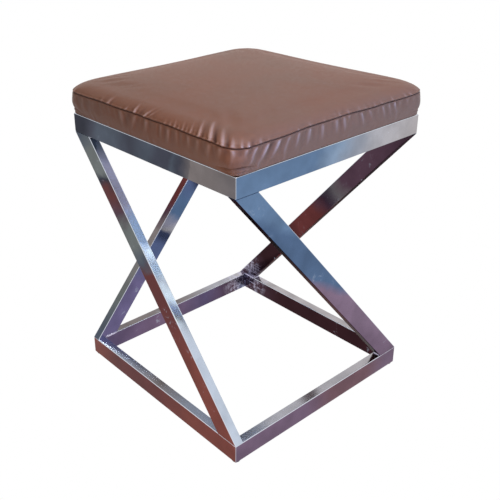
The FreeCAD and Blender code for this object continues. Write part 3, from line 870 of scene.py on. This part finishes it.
TOP_GATHERS: dict[Side, tuple[Fold, ...]] = {
    Side.FRONT: folds(
        "-78 1.0 5 24, -17 1.6 4.6 24, -5 -0.8 6 22 0.3, 4 1.4 4.4 26 0.7, 10 0.9 4 28 0.9, 52 0.6 5 18, "
        "64 0.7 4.5 18, 73 1.0 4.4 22, 82 0.9 4.4 22, 90 1.1 4.6 26, 98 1.0 4.4 26 0.1, "
        "106 1.3 4.8 30 0.1, 114 1.0 4.4 28 0.1, 123 1.9 5.6 36 0.1, 134 1.0 5 28 0.1, "
        "143 2.3 6.4 44 0.1, 154 -1.2 6 30 0.1, 159 1.2 5 26, 167 1.8 5.6 34, 175 -0.9 5 22, "
        "180 1.3 5 22, 186 1.4 5 18"),
    Side.RIGHT: folds(
        "-184 -0.9 4.6 16, -178 1.3 5 20, -170 1.0 4.6 16, -162 -0.8 5 16, -150 0.6 6 18, "
        "-60 0.4 8 18, 40 0.4 8 20"),
    Side.BACK: folds("-150 0.8 5 20, -139 1.1 5 26, -60 0.7 5 20, 30 0.9 5 22, 140 0.9 6 24"),
    Side.LEFT: folds("-120 0.8 6 22, -40 0.7 5 20, 70 1.0 5 26, 81 0.8 5 22, 150 0.9 6 22"),
}
BAND_CREASES: dict[Side, tuple[Fold, ...]] = {
    Side.FRONT: folds(
        "-164 0.6 7 34, -144 0.7 7 34, -116 0.6 8 30, -49 1.0 7 30 0.3, -28 -1.1 9 28 -0.4, "
        "-12 1.1 7 32 -0.5, 13 1.0 7 34 -0.2, 44 0.9 6 30, 63 1.2 6 36 -0.25, 78 1.0 5 32, "
        "103 1.0 6 34 -0.1, 123 1.0 6 30 -0.2, 145 1.2 7 32 -0.3, 165 1.3 7 26 -0.3, 180 1.2 6 16 0.5"),
    Side.RIGHT: folds(
        "-172 1.2 6 18 -0.3, -156 1.5 6 30 -0.5, -136 1.7 6 36 -0.55, -127 -1.0 6 32 -0.55, "
        "-116 1.7 6 34 -0.5, -98 1.2 6 32 -0.4, -80 1.2 6 32 -0.3, -60 1.2 7 34 -0.15, -35 1.1 6 34, "
        "-8 1.1 7 32 0.1, 7 1.3 6 34 0.15, 42 1.2 5 34 0.35, 60 0.8 6 30 0.4, 86 1.2 5 32 0.4, "
        "100 1.0 5 30 0.4, 112 0.9 5 32 0.4, 140 0.6 7 26 0.4"),
    Side.BACK: folds("-130 1.0 7 30, -80 0.9 7 30, -20 1.1 7 34 0.2, 50 0.9 6 32, 120 1.1 7 32"),
    Side.LEFT: folds("-140 1.0 7 30, -70 1.0 6 32, -10 1.0 7 30 -0.2, 60 1.1 7 34, 130 1.0 7 32"),
}


@dataclass(frozen=True)
class MinorFolds:
    """How many small unplanned folds lie along a side, and how large they are."""

    count: int
    height: tuple[float, float]
    width: tuple[float, float]
    reach: tuple[float, float]


FOLD_PLANS = (
    (Region.TOP, TOP_GATHERS, MinorFolds(26, (0.15, 0.55), (3.5, 6), (8, 22))),
    (Region.BAND, BAND_CREASES, MinorFolds(24, (0.2, 0.6), (4, 8), (14, 36))),
)
# Tucks at the corners: depth at each, and rows of height over the frame, width and rise in millimetres.
TUCK_DEPTHS = {Side.FRONT: 1.0, Side.RIGHT: 0.35, Side.BACK: 0.7, Side.LEFT: 0.35}
TUCK_ROWS = ((2.4, 1.5, 1.6), (6.2, 1.5, 1.5), (4.3, 0.9, -1.0), (9.6, 1.6, -1.9), (19, 8, 2.2))
CLOTH_SETTINGS = {
    "quality": 6, "mass": 0.35, "tension_stiffness": 22, "compression_stiffness": 22, "shear_stiffness": 12,
    "bending_stiffness": 1.2, "use_pressure": True, "uniform_pressure_force": 6.0,
    "vertex_group_mass": "held", "vertex_group_shrink": "plain", "shrink_min": -0.05, "shrink_max": 0.0}


@dataclass
class CushionShape:
    """Form of the cushion, from the frame's boxes and the sewn cover's own sizes."""

    roll_reach: float = 21.4 * MM
    roll_rise: float = 13.2 * MM
    seam_radius: float = 29 * MM
    foot_radius: float = 9.2 * MM
    foot_half: float = 185.2 * MM
    foot_draw_in: float = 0.1 * MM
    side_draw_in: float = 4 * MM
    corner_spread: float = 0.5
    roundest: float = 0.8
    crown_power: float = 2.2
    crown_rest: float = 2.6 * MM
    bulge: float = 1.6 * MM
    edge_grading: float = 1.25
    fold_half: float = 162 * MM
    seam_half: float = 0.0
    frame_top: float = 0.0
    seam_height: float = 0.0
    crown_rise: float = 0.0

    def __post_init__(self) -> None:
        """Read the seam's place and the crown's height from the frame."""
        low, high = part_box("cover_boxing")
        self.seam_half, self.frame_top, self.seam_height = high.x, low.z, high.z
        self.crown_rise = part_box("cover_top_panel")[1].z - high.z - self.roll_rise - self.crown_rest

    @property
    def roll_length(self) -> float:
        """Length over the rolled border."""
        return math.pi / 2 * math.hypot(self.roll_reach, self.roll_rise) / math.sqrt(2)

    @property
    def drop(self) -> float:
        """Height of the seam over the frame."""
        return self.seam_height - self.frame_top

    @property
    def seam_side(self) -> float:
        """Half the seam's length along one side, from the middle of a corner to that of the side."""
        return self.seam_half - self.seam_radius * (1 - math.pi / 4)

    def outline(self, share: np.ndarray, half: np.ndarray, radius: np.ndarray, draw_in: np.ndarray) -> tuple:
        """Place on the front side of a rounded square whose sides are drawn in.

        Args:
            share: -1 to 1 from the middle of one corner to that of the next.
            half: half width of the square.
            radius: corner radius.
            draw_in: pull inwards at the middle of the side.

        Returns:
            The place along the side, and the place across it.
        """
        flat = half - radius
        reach = np.abs(share) * (flat + radius * math.pi / 4)
        straight = reach <= flat
        angle = np.where(straight, 0.0, (reach - flat) / np.maximum(radius, 1e-9))
        along = np.where(straight, reach, flat + radius * np.sin(angle)) * np.sign(share)
        pull = draw_in * np.cos(math.pi / 2 * np.minimum(reach / np.maximum(flat, 1e-9), 1.0)) ** 2
        across = np.where(straight, -half + pull, -(flat + radius * np.cos(angle)))
        return along, across

    def place(self, pattern: np.ndarray, band_rows: int, under_rows: int) -> tuple[np.ndarray, np.ndarray]:
        """Lay a flat pattern box over the cushion.

        Args:
            pattern: places on a box: the top spans -1 to 1, and each row below it is one lower.
            band_rows: rows from the seam down to the frame.
            under_rows: rows from there inwards, under the board.

        Returns:
            The places on the cushion, and the distance of each from the seam, up being positive.
        """
        row = np.round(-pattern[:, 2])
        ring, side, share = round_pattern(pattern[:, 0], pattern[:, 1])
        top_length = self.roll_length + self.seam_half - self.roll_reach
        length = np.clip(1 - ring, 0, 1) ** self.edge_grading * top_length
        angle = np.minimum(length / self.roll_length, 1.0) * math.pi / 2
        inset = self.roll_reach * (1 - np.cos(angle)) + np.maximum(length - self.roll_length, 0)
        level = 1 - inset / self.seam_half
        top_half = self.seam_half - inset
        top_height = (self.seam_height + self.roll_rise * np.sin(angle)
                      + self.crown_rise * (1 - np.maximum(level, 0) ** self.crown_power))
        top_radius = np.minimum(self.seam_radius + self.corner_spread * inset, self.roundest * top_half)
        down = np.minimum(row / band_rows, 1.0)
        fold = np.clip((row - band_rows) / under_rows, 0, 1)

        def lowered(upper: float, lower: float) -> np.ndarray:
            """Go from one value at the seam to another at the foot of the band."""
            return upper + (lower - upper) * down

        band_half = lowered(self.seam_half, self.foot_half) + self.bulge * np.sin(math.pi * down)
        band_half += (self.fold_half - self.foot_half) * fold
        band_radius = lowered(self.seam_radius, self.foot_radius) - self.foot_radius * 0.8 * fold
        on_top = row < 0.5
        draw_in = np.where(on_top, self.side_draw_in * level, lowered(self.side_draw_in, self.foot_draw_in))
        along, across = self.outline(
            share, np.where(on_top, top_half, band_half), np.where(on_top, top_radius, band_radius), draw_in)
        x = np.choose(side, [along, -across, -along, across])
        y = np.choose(side, [across, along, -across, -along])
        z = np.where(on_top, top_height, lowered(self.seam_height, self.frame_top))
        from_seam = np.where(on_top, length, -self.drop * down - (self.foot_half - self.fold_half) * fold)
        return np.stack([x, y, z], axis=1), from_seam


@dataclass
class Cushion:
    """Boxed leather cushion: top panel, band folded under the board, and the foam inside."""

    shape: CushionShape = field(default_factory=CushionShape)
    rings: int = 54
    band_rows: int = 16
    under_rows: int = 5
    start_inset: float = 2.0 * MM
    foot_hold: float = 4 * MM
    seam_hold: float = 1.5 * MM
    seam_ease: float = 12 * MM
    frames: int = 20
    cap: float = 3.4 * MM
    border_fill: float = 0.65
    border_reach: tuple[float, float] = (0.5, 0.85)
    groove_depth: float = 1.0
    groove_width: float = 1.1
    puff: Triple = (0.45, 2.6, 1.3)
    hollow: Triple = (0.3, 5.6, 1.6)
    tuck_reach: float = 30
    tuck_sink: float = 34
    # strength of painted highlight on fold ridges and painted shade in fold valleys, on band and top, and of
    # painted shade in the corner tucks
    band_fold_shading: float = 0.28
    top_fold_shading: float = 0.5
    tuck_shading: float = 0.25
    leather: float = 1 * MM
    allowance: float = 4 * MM
    foam_inset: float = 5.5 * MM
    foam_floor: float = 0.5 * MM
    foam_smoothing: tuple[int, int] = (14, 4)
    seed: int = 11

    def cut_pattern(self) -> Piece:
        """Make the flat box that the cover's surface is laid out on."""
        skin = new_grid("cushion_skin", 2 * self.rings, 2 * self.rings, 2)
        with editing(skin, outwards=True):
            bpy.ops.mesh.select_all(action="DESELECT")
            bpy.ops.mesh.select_mode(type="EDGE")
            bpy.ops.mesh.select_non_manifold(extend=False, use_wire=False, use_boundary=True)
            for _ in range(self.band_rows + self.under_rows):
                bpy.ops.mesh.extrude_region_move(TRANSFORM_OT_translate={"value": (0, 0, -1)})
        return skin

    def lay_out(self, skin: Piece) -> None:
        """Lay the pattern over the cushion and keep where each point came from."""
        pattern = read_rows(skin)
        places, from_seam = self.shape.place(pattern, self.band_rows, self.under_rows)
        write_value(skin, "across", pattern[:, 0])
        write_value(skin, "along", pattern[:, 1])
        write_value(skin, "from_seam", from_seam)
        write_points(skin, places)
        for panel in ("cover_top_panel", "cover_boxing"):
            skin.data.materials.append(bpy.data.materials.new(panel))
        for polygon in skin.data.polygons:
            lowest = min(pattern[index, 2] for index in polygon.vertices)
            polygon.material_index = (Region.BAND if lowest < -0.5 else Region.TOP).value

    def inflate(self, skin: Piece) -> None:
        """Press the cover out against the foam as cloth, held at its seam and under the board.

        The travel is capped, and the border is then drawn most of the way back to its laid out form,
        because the stuffed roll keeps its shape where the top gives.
        """
        target = read_rows(skin)
        from_seam = read_value(skin, "from_seam")
        free = np.clip((from_seam + self.shape.drop) / self.foot_hold, 0, 1)
        held = np.maximum(1 - free, hump(from_seam, self.seam_hold))
        start = target - read_rows(skin, "normal") * (self.start_inset * free)[:, None]
        write_points(skin, start)
        for name, weights in (("held", held), ("plain", 1 - hump(from_seam, self.seam_ease))):
            group = skin.vertex_groups.new(name=name)
            for index, weight in enumerate(weights):
                group.add([index], float(weight), "REPLACE")
        select_only(skin)
        cloth = skin.modifiers.new("Cloth", "CLOTH")
        for name, value in CLOTH_SETTINGS.items():
            setattr(cloth.settings, name, value)
        cloth.settings.effector_weights.gravity = 0
        cloth.point_cache.frame_start = 1
        cloth.point_cache.frame_end = self.frames
        for number in range(1, self.frames + 1):
            bpy.context.scene.frame_set(number)
        bpy.ops.object.modifier_apply(modifier=cloth.name)
        moved = read_rows(skin) - start
        length = np.linalg.norm(moved, axis=1)
        share = np.minimum(1.0, self.cap / np.maximum(length, 1e-9))
        reach = np.abs(target[:, :2]).max(axis=1) / self.shape.seam_half
        full = self.border_fill * ramp_between(reach, *self.border_reach)[:, None]
        write_points(skin, (start + moved * share[:, None]) * (1 - full) + target * full)
        bpy.context.scene.frame_set(1)
        LOG.info("cushion inflated: mean travel %.2f mm, most %.2f mm", length.mean() / MM, length.max() / MM)

    def station(self, skin: Piece) -> tuple[np.ndarray, np.ndarray]:
        """Place of each point round the seam and its distance from it, in millimetres."""
        _, side, share = round_pattern(read_value(skin, "across"), read_value(skin, "along"))
        round_seam = (2 * side + 1 + share) * self.shape.seam_side / MM
        return round_seam, read_value(skin, "from_seam") / MM

    def fold_heights(self, round_seam: np.ndarray, from_seam: np.ndarray) -> np.ndarray:
        """Rise of the leather at each point, in millimetres, from its gathers and creases.

        Args:
            round_seam: place round the seam.
            from_seam: distance from the seam, up being positive.

        Returns:
            The rise along the surface's normal.
        """
        side_half, drop = self.shape.seam_side / MM, self.shape.drop / MM
        whole = 8 * side_half
        chance = random.Random(self.seed)
        total = np.zeros(len(round_seam))
        for region, planned, minor in FOLD_PLANS:
            away = from_seam if region is Region.TOP else -from_seam
            inside = (away >= -0.01) & ((away <= drop + 0.5) | (region is Region.TOP))
            for side in Side:
                found = list(planned[side])
                for _ in range(minor.count):
                    found.append(Fold(
                        chance.uniform(-side_half, side_half), chance.uniform(*minor.height),
                        chance.uniform(*minor.width), chance.uniform(*minor.reach),
                        chance.uniform(-0.25, 0.25), region is Region.BAND and chance.random() < 0.35))
                for fold in found:
                    middle = (2 * side.value + 1) * side_half + fold.place
                    apart = (round_seam - middle - fold.lean * away + whole / 2) % whole - whole / 2
                    along = (drop - away if fold.from_foot else away) / fold.reach
                    fade = np.clip(along / 0.16, 0, 1) * np.clip(1 - along, 0, 1) ** 1.4
                    wide = fold.width / 2 * (1 + 0.5 * np.clip(along, 0, 1))
                    dips = hump(apart - 2 * wide, wide) + hump(apart + 2 * wide, wide)
                    total += np.where(inside, fold.height * fade * (hump(apart, wide) - 0.4 * dips), 0)
        return total

    def tucks(self, round_seam: np.ndarray, from_seam: np.ndarray) -> np.ndarray:
        """Rise of the pleats that are pressed onto the frame below each corner's bulge, in millimetres."""
        side_half = self.shape.seam_side / MM
        over_frame = self.shape.drop / MM + from_seam
        total = np.zeros(len(round_seam))
        for side, depth in TUCK_DEPTHS.items():
            corner = (2 * side.value + 2) * side_half
            apart = (round_seam - corner + 4 * side_half) % (8 * side_half) - 4 * side_half
            near = hump(apart, self.tuck_reach, 4) * depth
            for height, width, rise in TUCK_ROWS:
                level = height * (1 - 0.5 * (apart / self.tuck_sink) ** 2 + 0.12 * np.sin(apart / 9))
                total += near * rise * hump(over_frame - level, width)
        return np.where((from_seam <= 0) & (over_frame > 0.4), total, 0)

    def shape_leather(self, skin: Piece) -> None:
        """Press the seam, gathers, creases and corner tucks into the cover, and store their painted shade and
        highlight for the leather's colour.
        """
        round_seam, from_seam = self.station(skin)
        gathers, tucks = self.fold_heights(round_seam, from_seam), self.tucks(round_seam, from_seam)
        groove = self.groove_depth * hump(from_seam, self.groove_width)
        puff, hollow = (rise * hump(from_seam - middle, width)
                        for rise, middle, width in (self.puff, self.hollow))
        rise = (gathers + tucks - groove + puff - hollow) * MM
        wave = 0.5 * np.sin(round_seam / 37.0) + 0.35 * np.sin(round_seam / 13.0 + 1.3)
        points = read_rows(skin) + read_rows(skin, "normal") * rise[:, None]
        points[:, 2] += wave * MM * hump(from_seam, 12)
        write_points(skin, points)
        # painted highlight on fold ridges and painted shade in fold valleys, tuck hollows and the seam groove
        fold_shading = gathers * np.where(from_seam < 0, self.band_fold_shading, self.top_fold_shading)
        fold_shading += np.minimum(tucks, 0) * self.tuck_shading
        seam_shade = 0.5 * hump(from_seam, 1.1)
        write_value(skin, "crease", np.clip(0.5 + fold_shading - seam_shade, 0, 1))

    def split(self, skin: Piece) -> dict[Region, Piece]:
        """Part the cover along its seam into the top panel and the band."""
        before = set(bpy.data.objects)
        with editing(skin):
            bpy.ops.mesh.separate(type="MATERIAL")
        found = {}
        for part in (skin, *(set(bpy.data.objects) - before)):
            face = part.data.polygons[0]
            name = part.data.materials[face.material_index].name
            found[Region.TOP if name == "cover_top_panel" else Region.BAND] = part
        return found

    def turn_in(self, panel: Piece) -> None:
        """Turn a panel's seam edge inwards and give the leather its thickness."""
        away = np.abs(read_value(panel, "from_seam")) / MM
        for vertex in panel.data.vertices:
            vertex.select = bool(away[vertex.index] < 0.05)
        shrink = 1 - self.allowance / self.shape.seam_half
        with editing(panel):
            bpy.ops.mesh.select_mode(type="VERT")
            bpy.ops.mesh.select_mode(type="EDGE")
            bpy.ops.mesh.extrude_edges_move()
            bpy.ops.transform.resize(value=(shrink, shrink, 1), center_override=(0, 0, 0))
        apply_modifier(panel, "Leather", "SOLIDIFY", thickness=self.leather, offset=-1)

    def foam(self, skin: Piece) -> Piece:
        """Make the foam block that fills the cover, smoother than it, inside it and flat on the board."""
        block = doubled(skin, "foam_block")
        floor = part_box("seat_board")[1].z + self.foam_floor
        with editing(block, outwards=True):
            bpy.ops.mesh.select_all(action="SELECT")
            bpy.ops.mesh.vertices_smooth(factor=0.5, repeat=self.foam_smoothing[0])
            bpy.ops.transform.shrink_fatten(value=-self.foam_inset)
            bpy.ops.mesh.vertices_smooth(factor=0.5, repeat=self.foam_smoothing[1])
            bpy.ops.mesh.select_all(action="SELECT")
            bpy.ops.mesh.bisect(plane_co=(0, 0, floor), plane_no=UP, clear_inner=True, use_fill=True)
        return block

    def build(self) -> None:
        """Build the top panel, the band and the foam block."""
        skin = self.cut_pattern()
        self.lay_out(skin)
        self.inflate(skin)
        block = self.foam(skin)
        apply_modifier(skin, "Finer", "SUBSURF", levels=1, render_levels=1)
        self.shape_leather(skin)
        panels = self.split(skin)
        for panel in panels.values():
            self.turn_in(panel)
        hide = Leather("brown_leather").make()
        foam = MattePart("foam", (0.88, 0.82, 0.62), (0.78, 0.69, 0.46), 0.95, 25.0, 700.0, 0.6).make()
        for piece, name, material, slot, node, fill in (
                (panels[Region.TOP], "leather_top_panel", hide, "brown_leather", "cover_top_panel", 0.85),
                (panels[Region.BAND], "leather_band", hide, "brown_leather", "cover_boxing", 0.8),
                (block, "foam_block", foam, "foam", "foam_pad", 0.9)):
            piece.name = name
            dress(piece, material)
            select_only(piece)
            bpy.ops.object.shade_smooth()
            piece.vertex_groups.clear()
            report(piece, node)
            LOG.info("cushion: %s has %d faces", piece.name, len(piece.data.polygons))


@dataclass
class WeldBeads:
    """Rippled weld metal at the ends of the bars, in place of the plain fillets."""

    width: float = 4 * MM
    rise: float = 1.1 * MM
    sunk: float = 0.05 * MM
    ripple: float = 2.1 * MM
    end_length: float = 1.6 * MM
    corner_gap: float = 1.5 * MM
    flat_gap: float = 0.4 * MM
    heel_back: float = 1.0 * MM
    heel_rise: float = 0.9 * MM

    def bead(self, length: float) -> Piece:
        """Make one bead along +X from the origin, on a face that looks along +Y.

        Args:
            length: length of the bead.

        Returns:
            The bead.
        """
        piece = new_grid("bead", 64, 12, 2)
        points = read_rows(piece)
        along, turn = (points[:, 0] + 1) / 2, points[:, 1] * math.pi / 2
        phase = along * length / self.ripple + 0.35 * np.cos(turn)
        ends = np.clip(np.minimum(along, 1 - along) * length / self.end_length, 0, 1) ** 0.5
        swell = ends * (0.86 + 0.14 * np.abs(np.sin(math.pi * phase)))
        wander = 0.25 * MM * np.sin(along * 17)
        write_points(piece, np.stack([
            along * length,
            np.cos(turn) * self.rise * swell - self.sunk,
            np.sin(turn) * self.width / 2 * swell + wander], axis=1))
        return piece

    def foot_beads(self) -> Piece:
        """Join the beads at the four feet of the bars, with the small fillet in each sharp angle."""
        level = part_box("bottom_rail_front")[1].z
        low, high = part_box("slanted_bar_front")
        angle = bar_angle(low, high)
        half, foot = high.x, TUBE_HEIGHT / math.sin(angle)
        lean = math.pi / 2 - (math.pi - angle) / 2
        flat_place = Matrix.Translation((half - foot, TUBE_DEPTH - half, level))
        heel_place = (
            Matrix.Translation((half - foot - self.heel_back, self.corner_gap - half, level + self.heel_rise))
            @ Matrix.Rotation(math.pi / 2, 4, "Z") @ Matrix.Rotation(lean, 4, "X"))
        pieces = []
        for side in Side:
            for length, place in ((foot - TUBE_DEPTH - self.flat_gap, flat_place),
                                  (TUBE_DEPTH - 2 * self.corner_gap, heel_place)):
                piece = self.bead(length)
                piece.data.transform(side.turn @ place)
                pieces.append(piece)
        select_only(*pieces)
        bpy.ops.object.join()
        joined = bpy.context.active_object
        with editing(joined, outwards=True):
            bpy.ops.mesh.select_all(action="SELECT")
            bpy.ops.mesh.remove_doubles(threshold=0.01 * MM)
        bpy.ops.object.shade_smooth()
        return joined

    def build(self) -> None:
        """Build the welds at the feet and, turned over, at the heads."""
        metal = PlainMetal("weld_metal", (0.86, 0.84, 0.92), (0.62, 0.60, 0.70), 0.22, 900.0, 0.3).make()
        feet = self.foot_beads()
        feet.name = "foot_weld_beads"
        heads = doubled(feet, "head_weld_beads")
        both_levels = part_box("bottom_rail_front")[1].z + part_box("top_rail_front")[0].z
        heads.data.transform(Matrix.Translation((0, 0, both_levels)) @ Matrix.Rotation(math.pi, 4, "Y"))
        for piece, node in ((feet, "bar_foot_welds"), (heads, "bar_head_welds")):
            dress(piece, metal)
            report(piece, node)
        LOG.info("welds: %d faces each", len(feet.data.polygons))


@dataclass
class DustCloth:
    """Thin grey cloth stapled under the seat, sagging a little between its staples."""

    cells: int = 110
    sag: float = 2.2 * MM
    sag_reach: float = 70 * MM
    pucker: float = 0.105 * MM
    pucker_reach: float = 18 * MM
    thickness: float = 0.3 * MM
    gap: float = 0.05 * MM
    border: float = 24 * MM
    corner_border: float = 12 * MM

    def build(self) -> None:
        """Build the cloth."""
        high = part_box("dust_cover")[1]
        half = high.x
        cloth = new_grid("underseat_cloth", self.cells, self.cells, 2 * half)
        points = read_rows(cloth)
        x, y = points[:, 0], points[:, 1]
        edge = half - np.maximum(np.abs(x), np.abs(y))
        corner = half - (np.abs(x) + np.abs(y)) / 2
        inner = np.minimum(edge, corner - self.corner_border) - self.border
        inside = np.clip(inner / self.sag_reach, 0, 1)
        blend = inside ** 2 * (3 - 2 * inside)
        waves = np.abs(np.sin(x * 210 + 2 * np.sin(y * 40))) * hump(edge, self.pucker_reach)
        points[:, 2] = high.z - self.thickness - self.gap - self.sag * blend
        points[:, 2] -= self.pucker * waves * (edge > 3 * MM) * (corner > 40 * MM)
        write_points(cloth, points)
        apply_modifier(cloth, "Cloth_thickness", "SOLIDIFY", thickness=self.thickness, offset=1)
        bpy.ops.object.shade_smooth()
        dress(cloth, WovenCloth("grey_cloth").make())
        report(cloth, "dust_cover")
        LOG.info("dust cloth: %.0f mm square", 2 * half / MM)


def dress_small_parts() -> None:
    """Dress plates, screws, glides, staples and the board, which keep their own shapes."""
    zinc = PlainMetal("zinc_plate", (0.78, 0.79, 0.82), (0.62, 0.64, 0.70), 0.24).make()
    materials = {
        "corner_plate": PlainMetal(
            "steel_plate", (0.50, 0.50, 0.52), (0.36, 0.36, 0.38), 0.38, 420.0, 0.3).make(),
        "floor_glide": MattePart(
            "nylon", (0.13, 0.13, 0.14), (0.09, 0.09, 0.10), 0.5, 60.0, 900.0, 0.25).make(),
        "seat_screws": zinc, "screw_washers": zinc, "seat_nuts": zinc,
        "staples": PlainMetal("staple_steel", (0.80, 0.80, 0.80), (0.64, 0.64, 0.64), 0.28).make(),
        "plate_welds": PlainMetal(
            "plate_weld_metal", (0.62, 0.60, 0.62), (0.40, 0.38, 0.42), 0.35, 500.0, 0.6).make(),
        "seat_board": Plywood("plywood").make(),
    }
    count = 0
    for node, piece in frame["nodes"].items():
        for start, material in materials.items():
            if node.startswith(start):
                dress(piece, material)
                count += 1
    LOG.info("small parts: %d dressed", count)


@dataclass(frozen=True)
class Camera:
    """Camera at the photograph's viewpoint."""

    place: Triple = (0.7902, -0.7469, 0.7783)
    azimuth: float = 51.03
    elevation: float = 23.87
    roll: float = -1.54
    lens: float = 53.44
    sensor: float = 36
    shift: tuple[float, float] = (0.1208, -0.0940)

    def build(self) -> None:
        """Make the camera and look through it."""
        a, e, r = (math.radians(angle) for angle in (self.azimuth, self.elevation, self.roll))
        right = Vector((math.cos(a), math.sin(a), 0))
        forward = Vector((-math.sin(a) * math.cos(e), math.cos(a) * math.cos(e), -math.sin(e)))
        up = right.cross(forward)
        turned = (math.cos(r) * right + math.sin(r) * up, -math.sin(r) * right + math.cos(r) * up, -forward)
        lens = bpy.data.cameras.new("camera")
        lens.lens, lens.sensor_width = self.lens, self.sensor
        lens.shift_x, lens.shift_y = self.shift
        camera = bpy.data.objects.new("camera", lens)
        matrix = Matrix(turned).transposed().to_4x4()
        matrix.translation = self.place
        camera.matrix_world = matrix
        bpy.context.scene.collection.objects.link(camera)
        bpy.context.scene.camera = camera


@dataclass(frozen=True)
class Lamp:
    """Light that shines from a place towards another: the sun, or a square pane that isn't seen."""

    name: str
    energy: float
    place: Triple
    target: Triple = (0.0, 0.0, 0.0)
    size: float = 1.0
    colour: Triple = (1.0, 1.0, 1.0)
    spread: float = 0.0

    def build(self) -> None:
        """Make the light."""
        light = bpy.data.lights.new(self.name, "SUN" if self.spread else "AREA")
        light.energy, light.color = self.energy, self.colour
        lamp = bpy.data.objects.new(self.name, light)
        if self.spread:
            light.angle = math.radians(self.spread)
        else:
            light.size = self.size
            lamp.location = self.place
            lamp.visible_camera = lamp.visible_glossy = False
        away = Vector(self.place) - Vector(self.target)
        lamp.rotation_euler = away.to_track_quat("Z", "Y").to_euler()
        bpy.context.scene.collection.objects.link(lamp)


LAMPS = (
    Lamp("overhead", 2.9, (0.04, -0.02, 0.99), spread=20.0),
    Lamp("cool_window", 96.0, (1.66, 0.06, 0.98), (0.0, 0.0, 0.4), 1.1, (0.24, 0.48, 1.0)),
    Lamp("warm_front", 1.8, (0.40, -0.64, 0.48), (0.1, -0.1, 0.45), 0.35, (1.0, 0.86, 0.74)),
    Lamp("floor_bounce", 4.5, (0.0, 0.0, 0.01), (0.0, 0.0, 1.0), 0.3),
)


@dataclass(frozen=True)
class Studio:
    """Pale floor and white surroundings that light the stool less than they show, with four lights."""

    floor_size: float = 40.0
    floor_colour: Triple = (0.42, 0.40, 0.40)
    fill: float = 0.12
    fill_colour: Triple = (0.97, 0.98, 1.0)

    def build(self) -> None:
        """Build the floor, the world and the lights."""
        self.floor()
        self.world()
        for lamp in LAMPS:
            lamp.build()
        bpy.context.scene.view_settings.view_transform = "Standard"

    def seen(self, wiring: Wiring) -> Socket:
        """One where the camera, a reflection or a clear view sees a surface."""
        path = wiring.add("LightPath").outputs
        either = wiring.math("MAXIMUM", path["Is Camera Ray"], path["Is Glossy Ray"])
        return wiring.math("MAXIMUM", either, path["Is Transmission Ray"])

    def floor(self) -> None:
        """Build the floor, which is seen as white and lights the stool with its own colour."""
        select_only()
        bpy.ops.mesh.primitive_plane_add(size=self.floor_size)
        floor = bpy.context.active_object
        floor.name = "floor"
        material, wiring, shader = new_material("pale_floor")
        colour = (*self.floor_colour, 1)
        wiring.feed(shader, {"Base Color": colour, "Roughness": 1.0, "Specular IOR Level": 0.0})
        glow = wiring.add("Emission", {"Color": WHITE, "Strength": 1.0}).outputs[0]
        mixed = wiring.add("MixShader", {0: self.seen(wiring), 1: shader.outputs[0], 2: glow})
        wiring.feed(material.node_tree.nodes["Material Output"], {"Surface": mixed.outputs[0]})
        dress(floor, material)

    def world(self) -> None:
        """Make the surroundings white where they are seen, and softer where they light the stool."""
        world = bpy.data.worlds.new("studio")
        bpy.context.scene.world = world
        world.use_nodes = True
        wiring = Wiring(world.node_tree)
        colour = tuple(part * self.fill for part in self.fill_colour)
        tone = wiring.mix(self.seen(wiring), (*colour, 1), WHITE)
        wiring.feed(world.node_tree.nodes["Background"], {"Color": tone, "Strength": 1.0})


def main() -> None:
    """Build the stool and its studio in order."""
    logging.basicConfig(level=logging.INFO, format="%(name)s: %(message)s")
    Camera().build()
    Studio().build()
    MetalFrame().build()
    WeldBeads().build()
    Cushion().build()
    DustCloth().build()
    dress_small_parts()


if __name__ == "__main__":
    main()
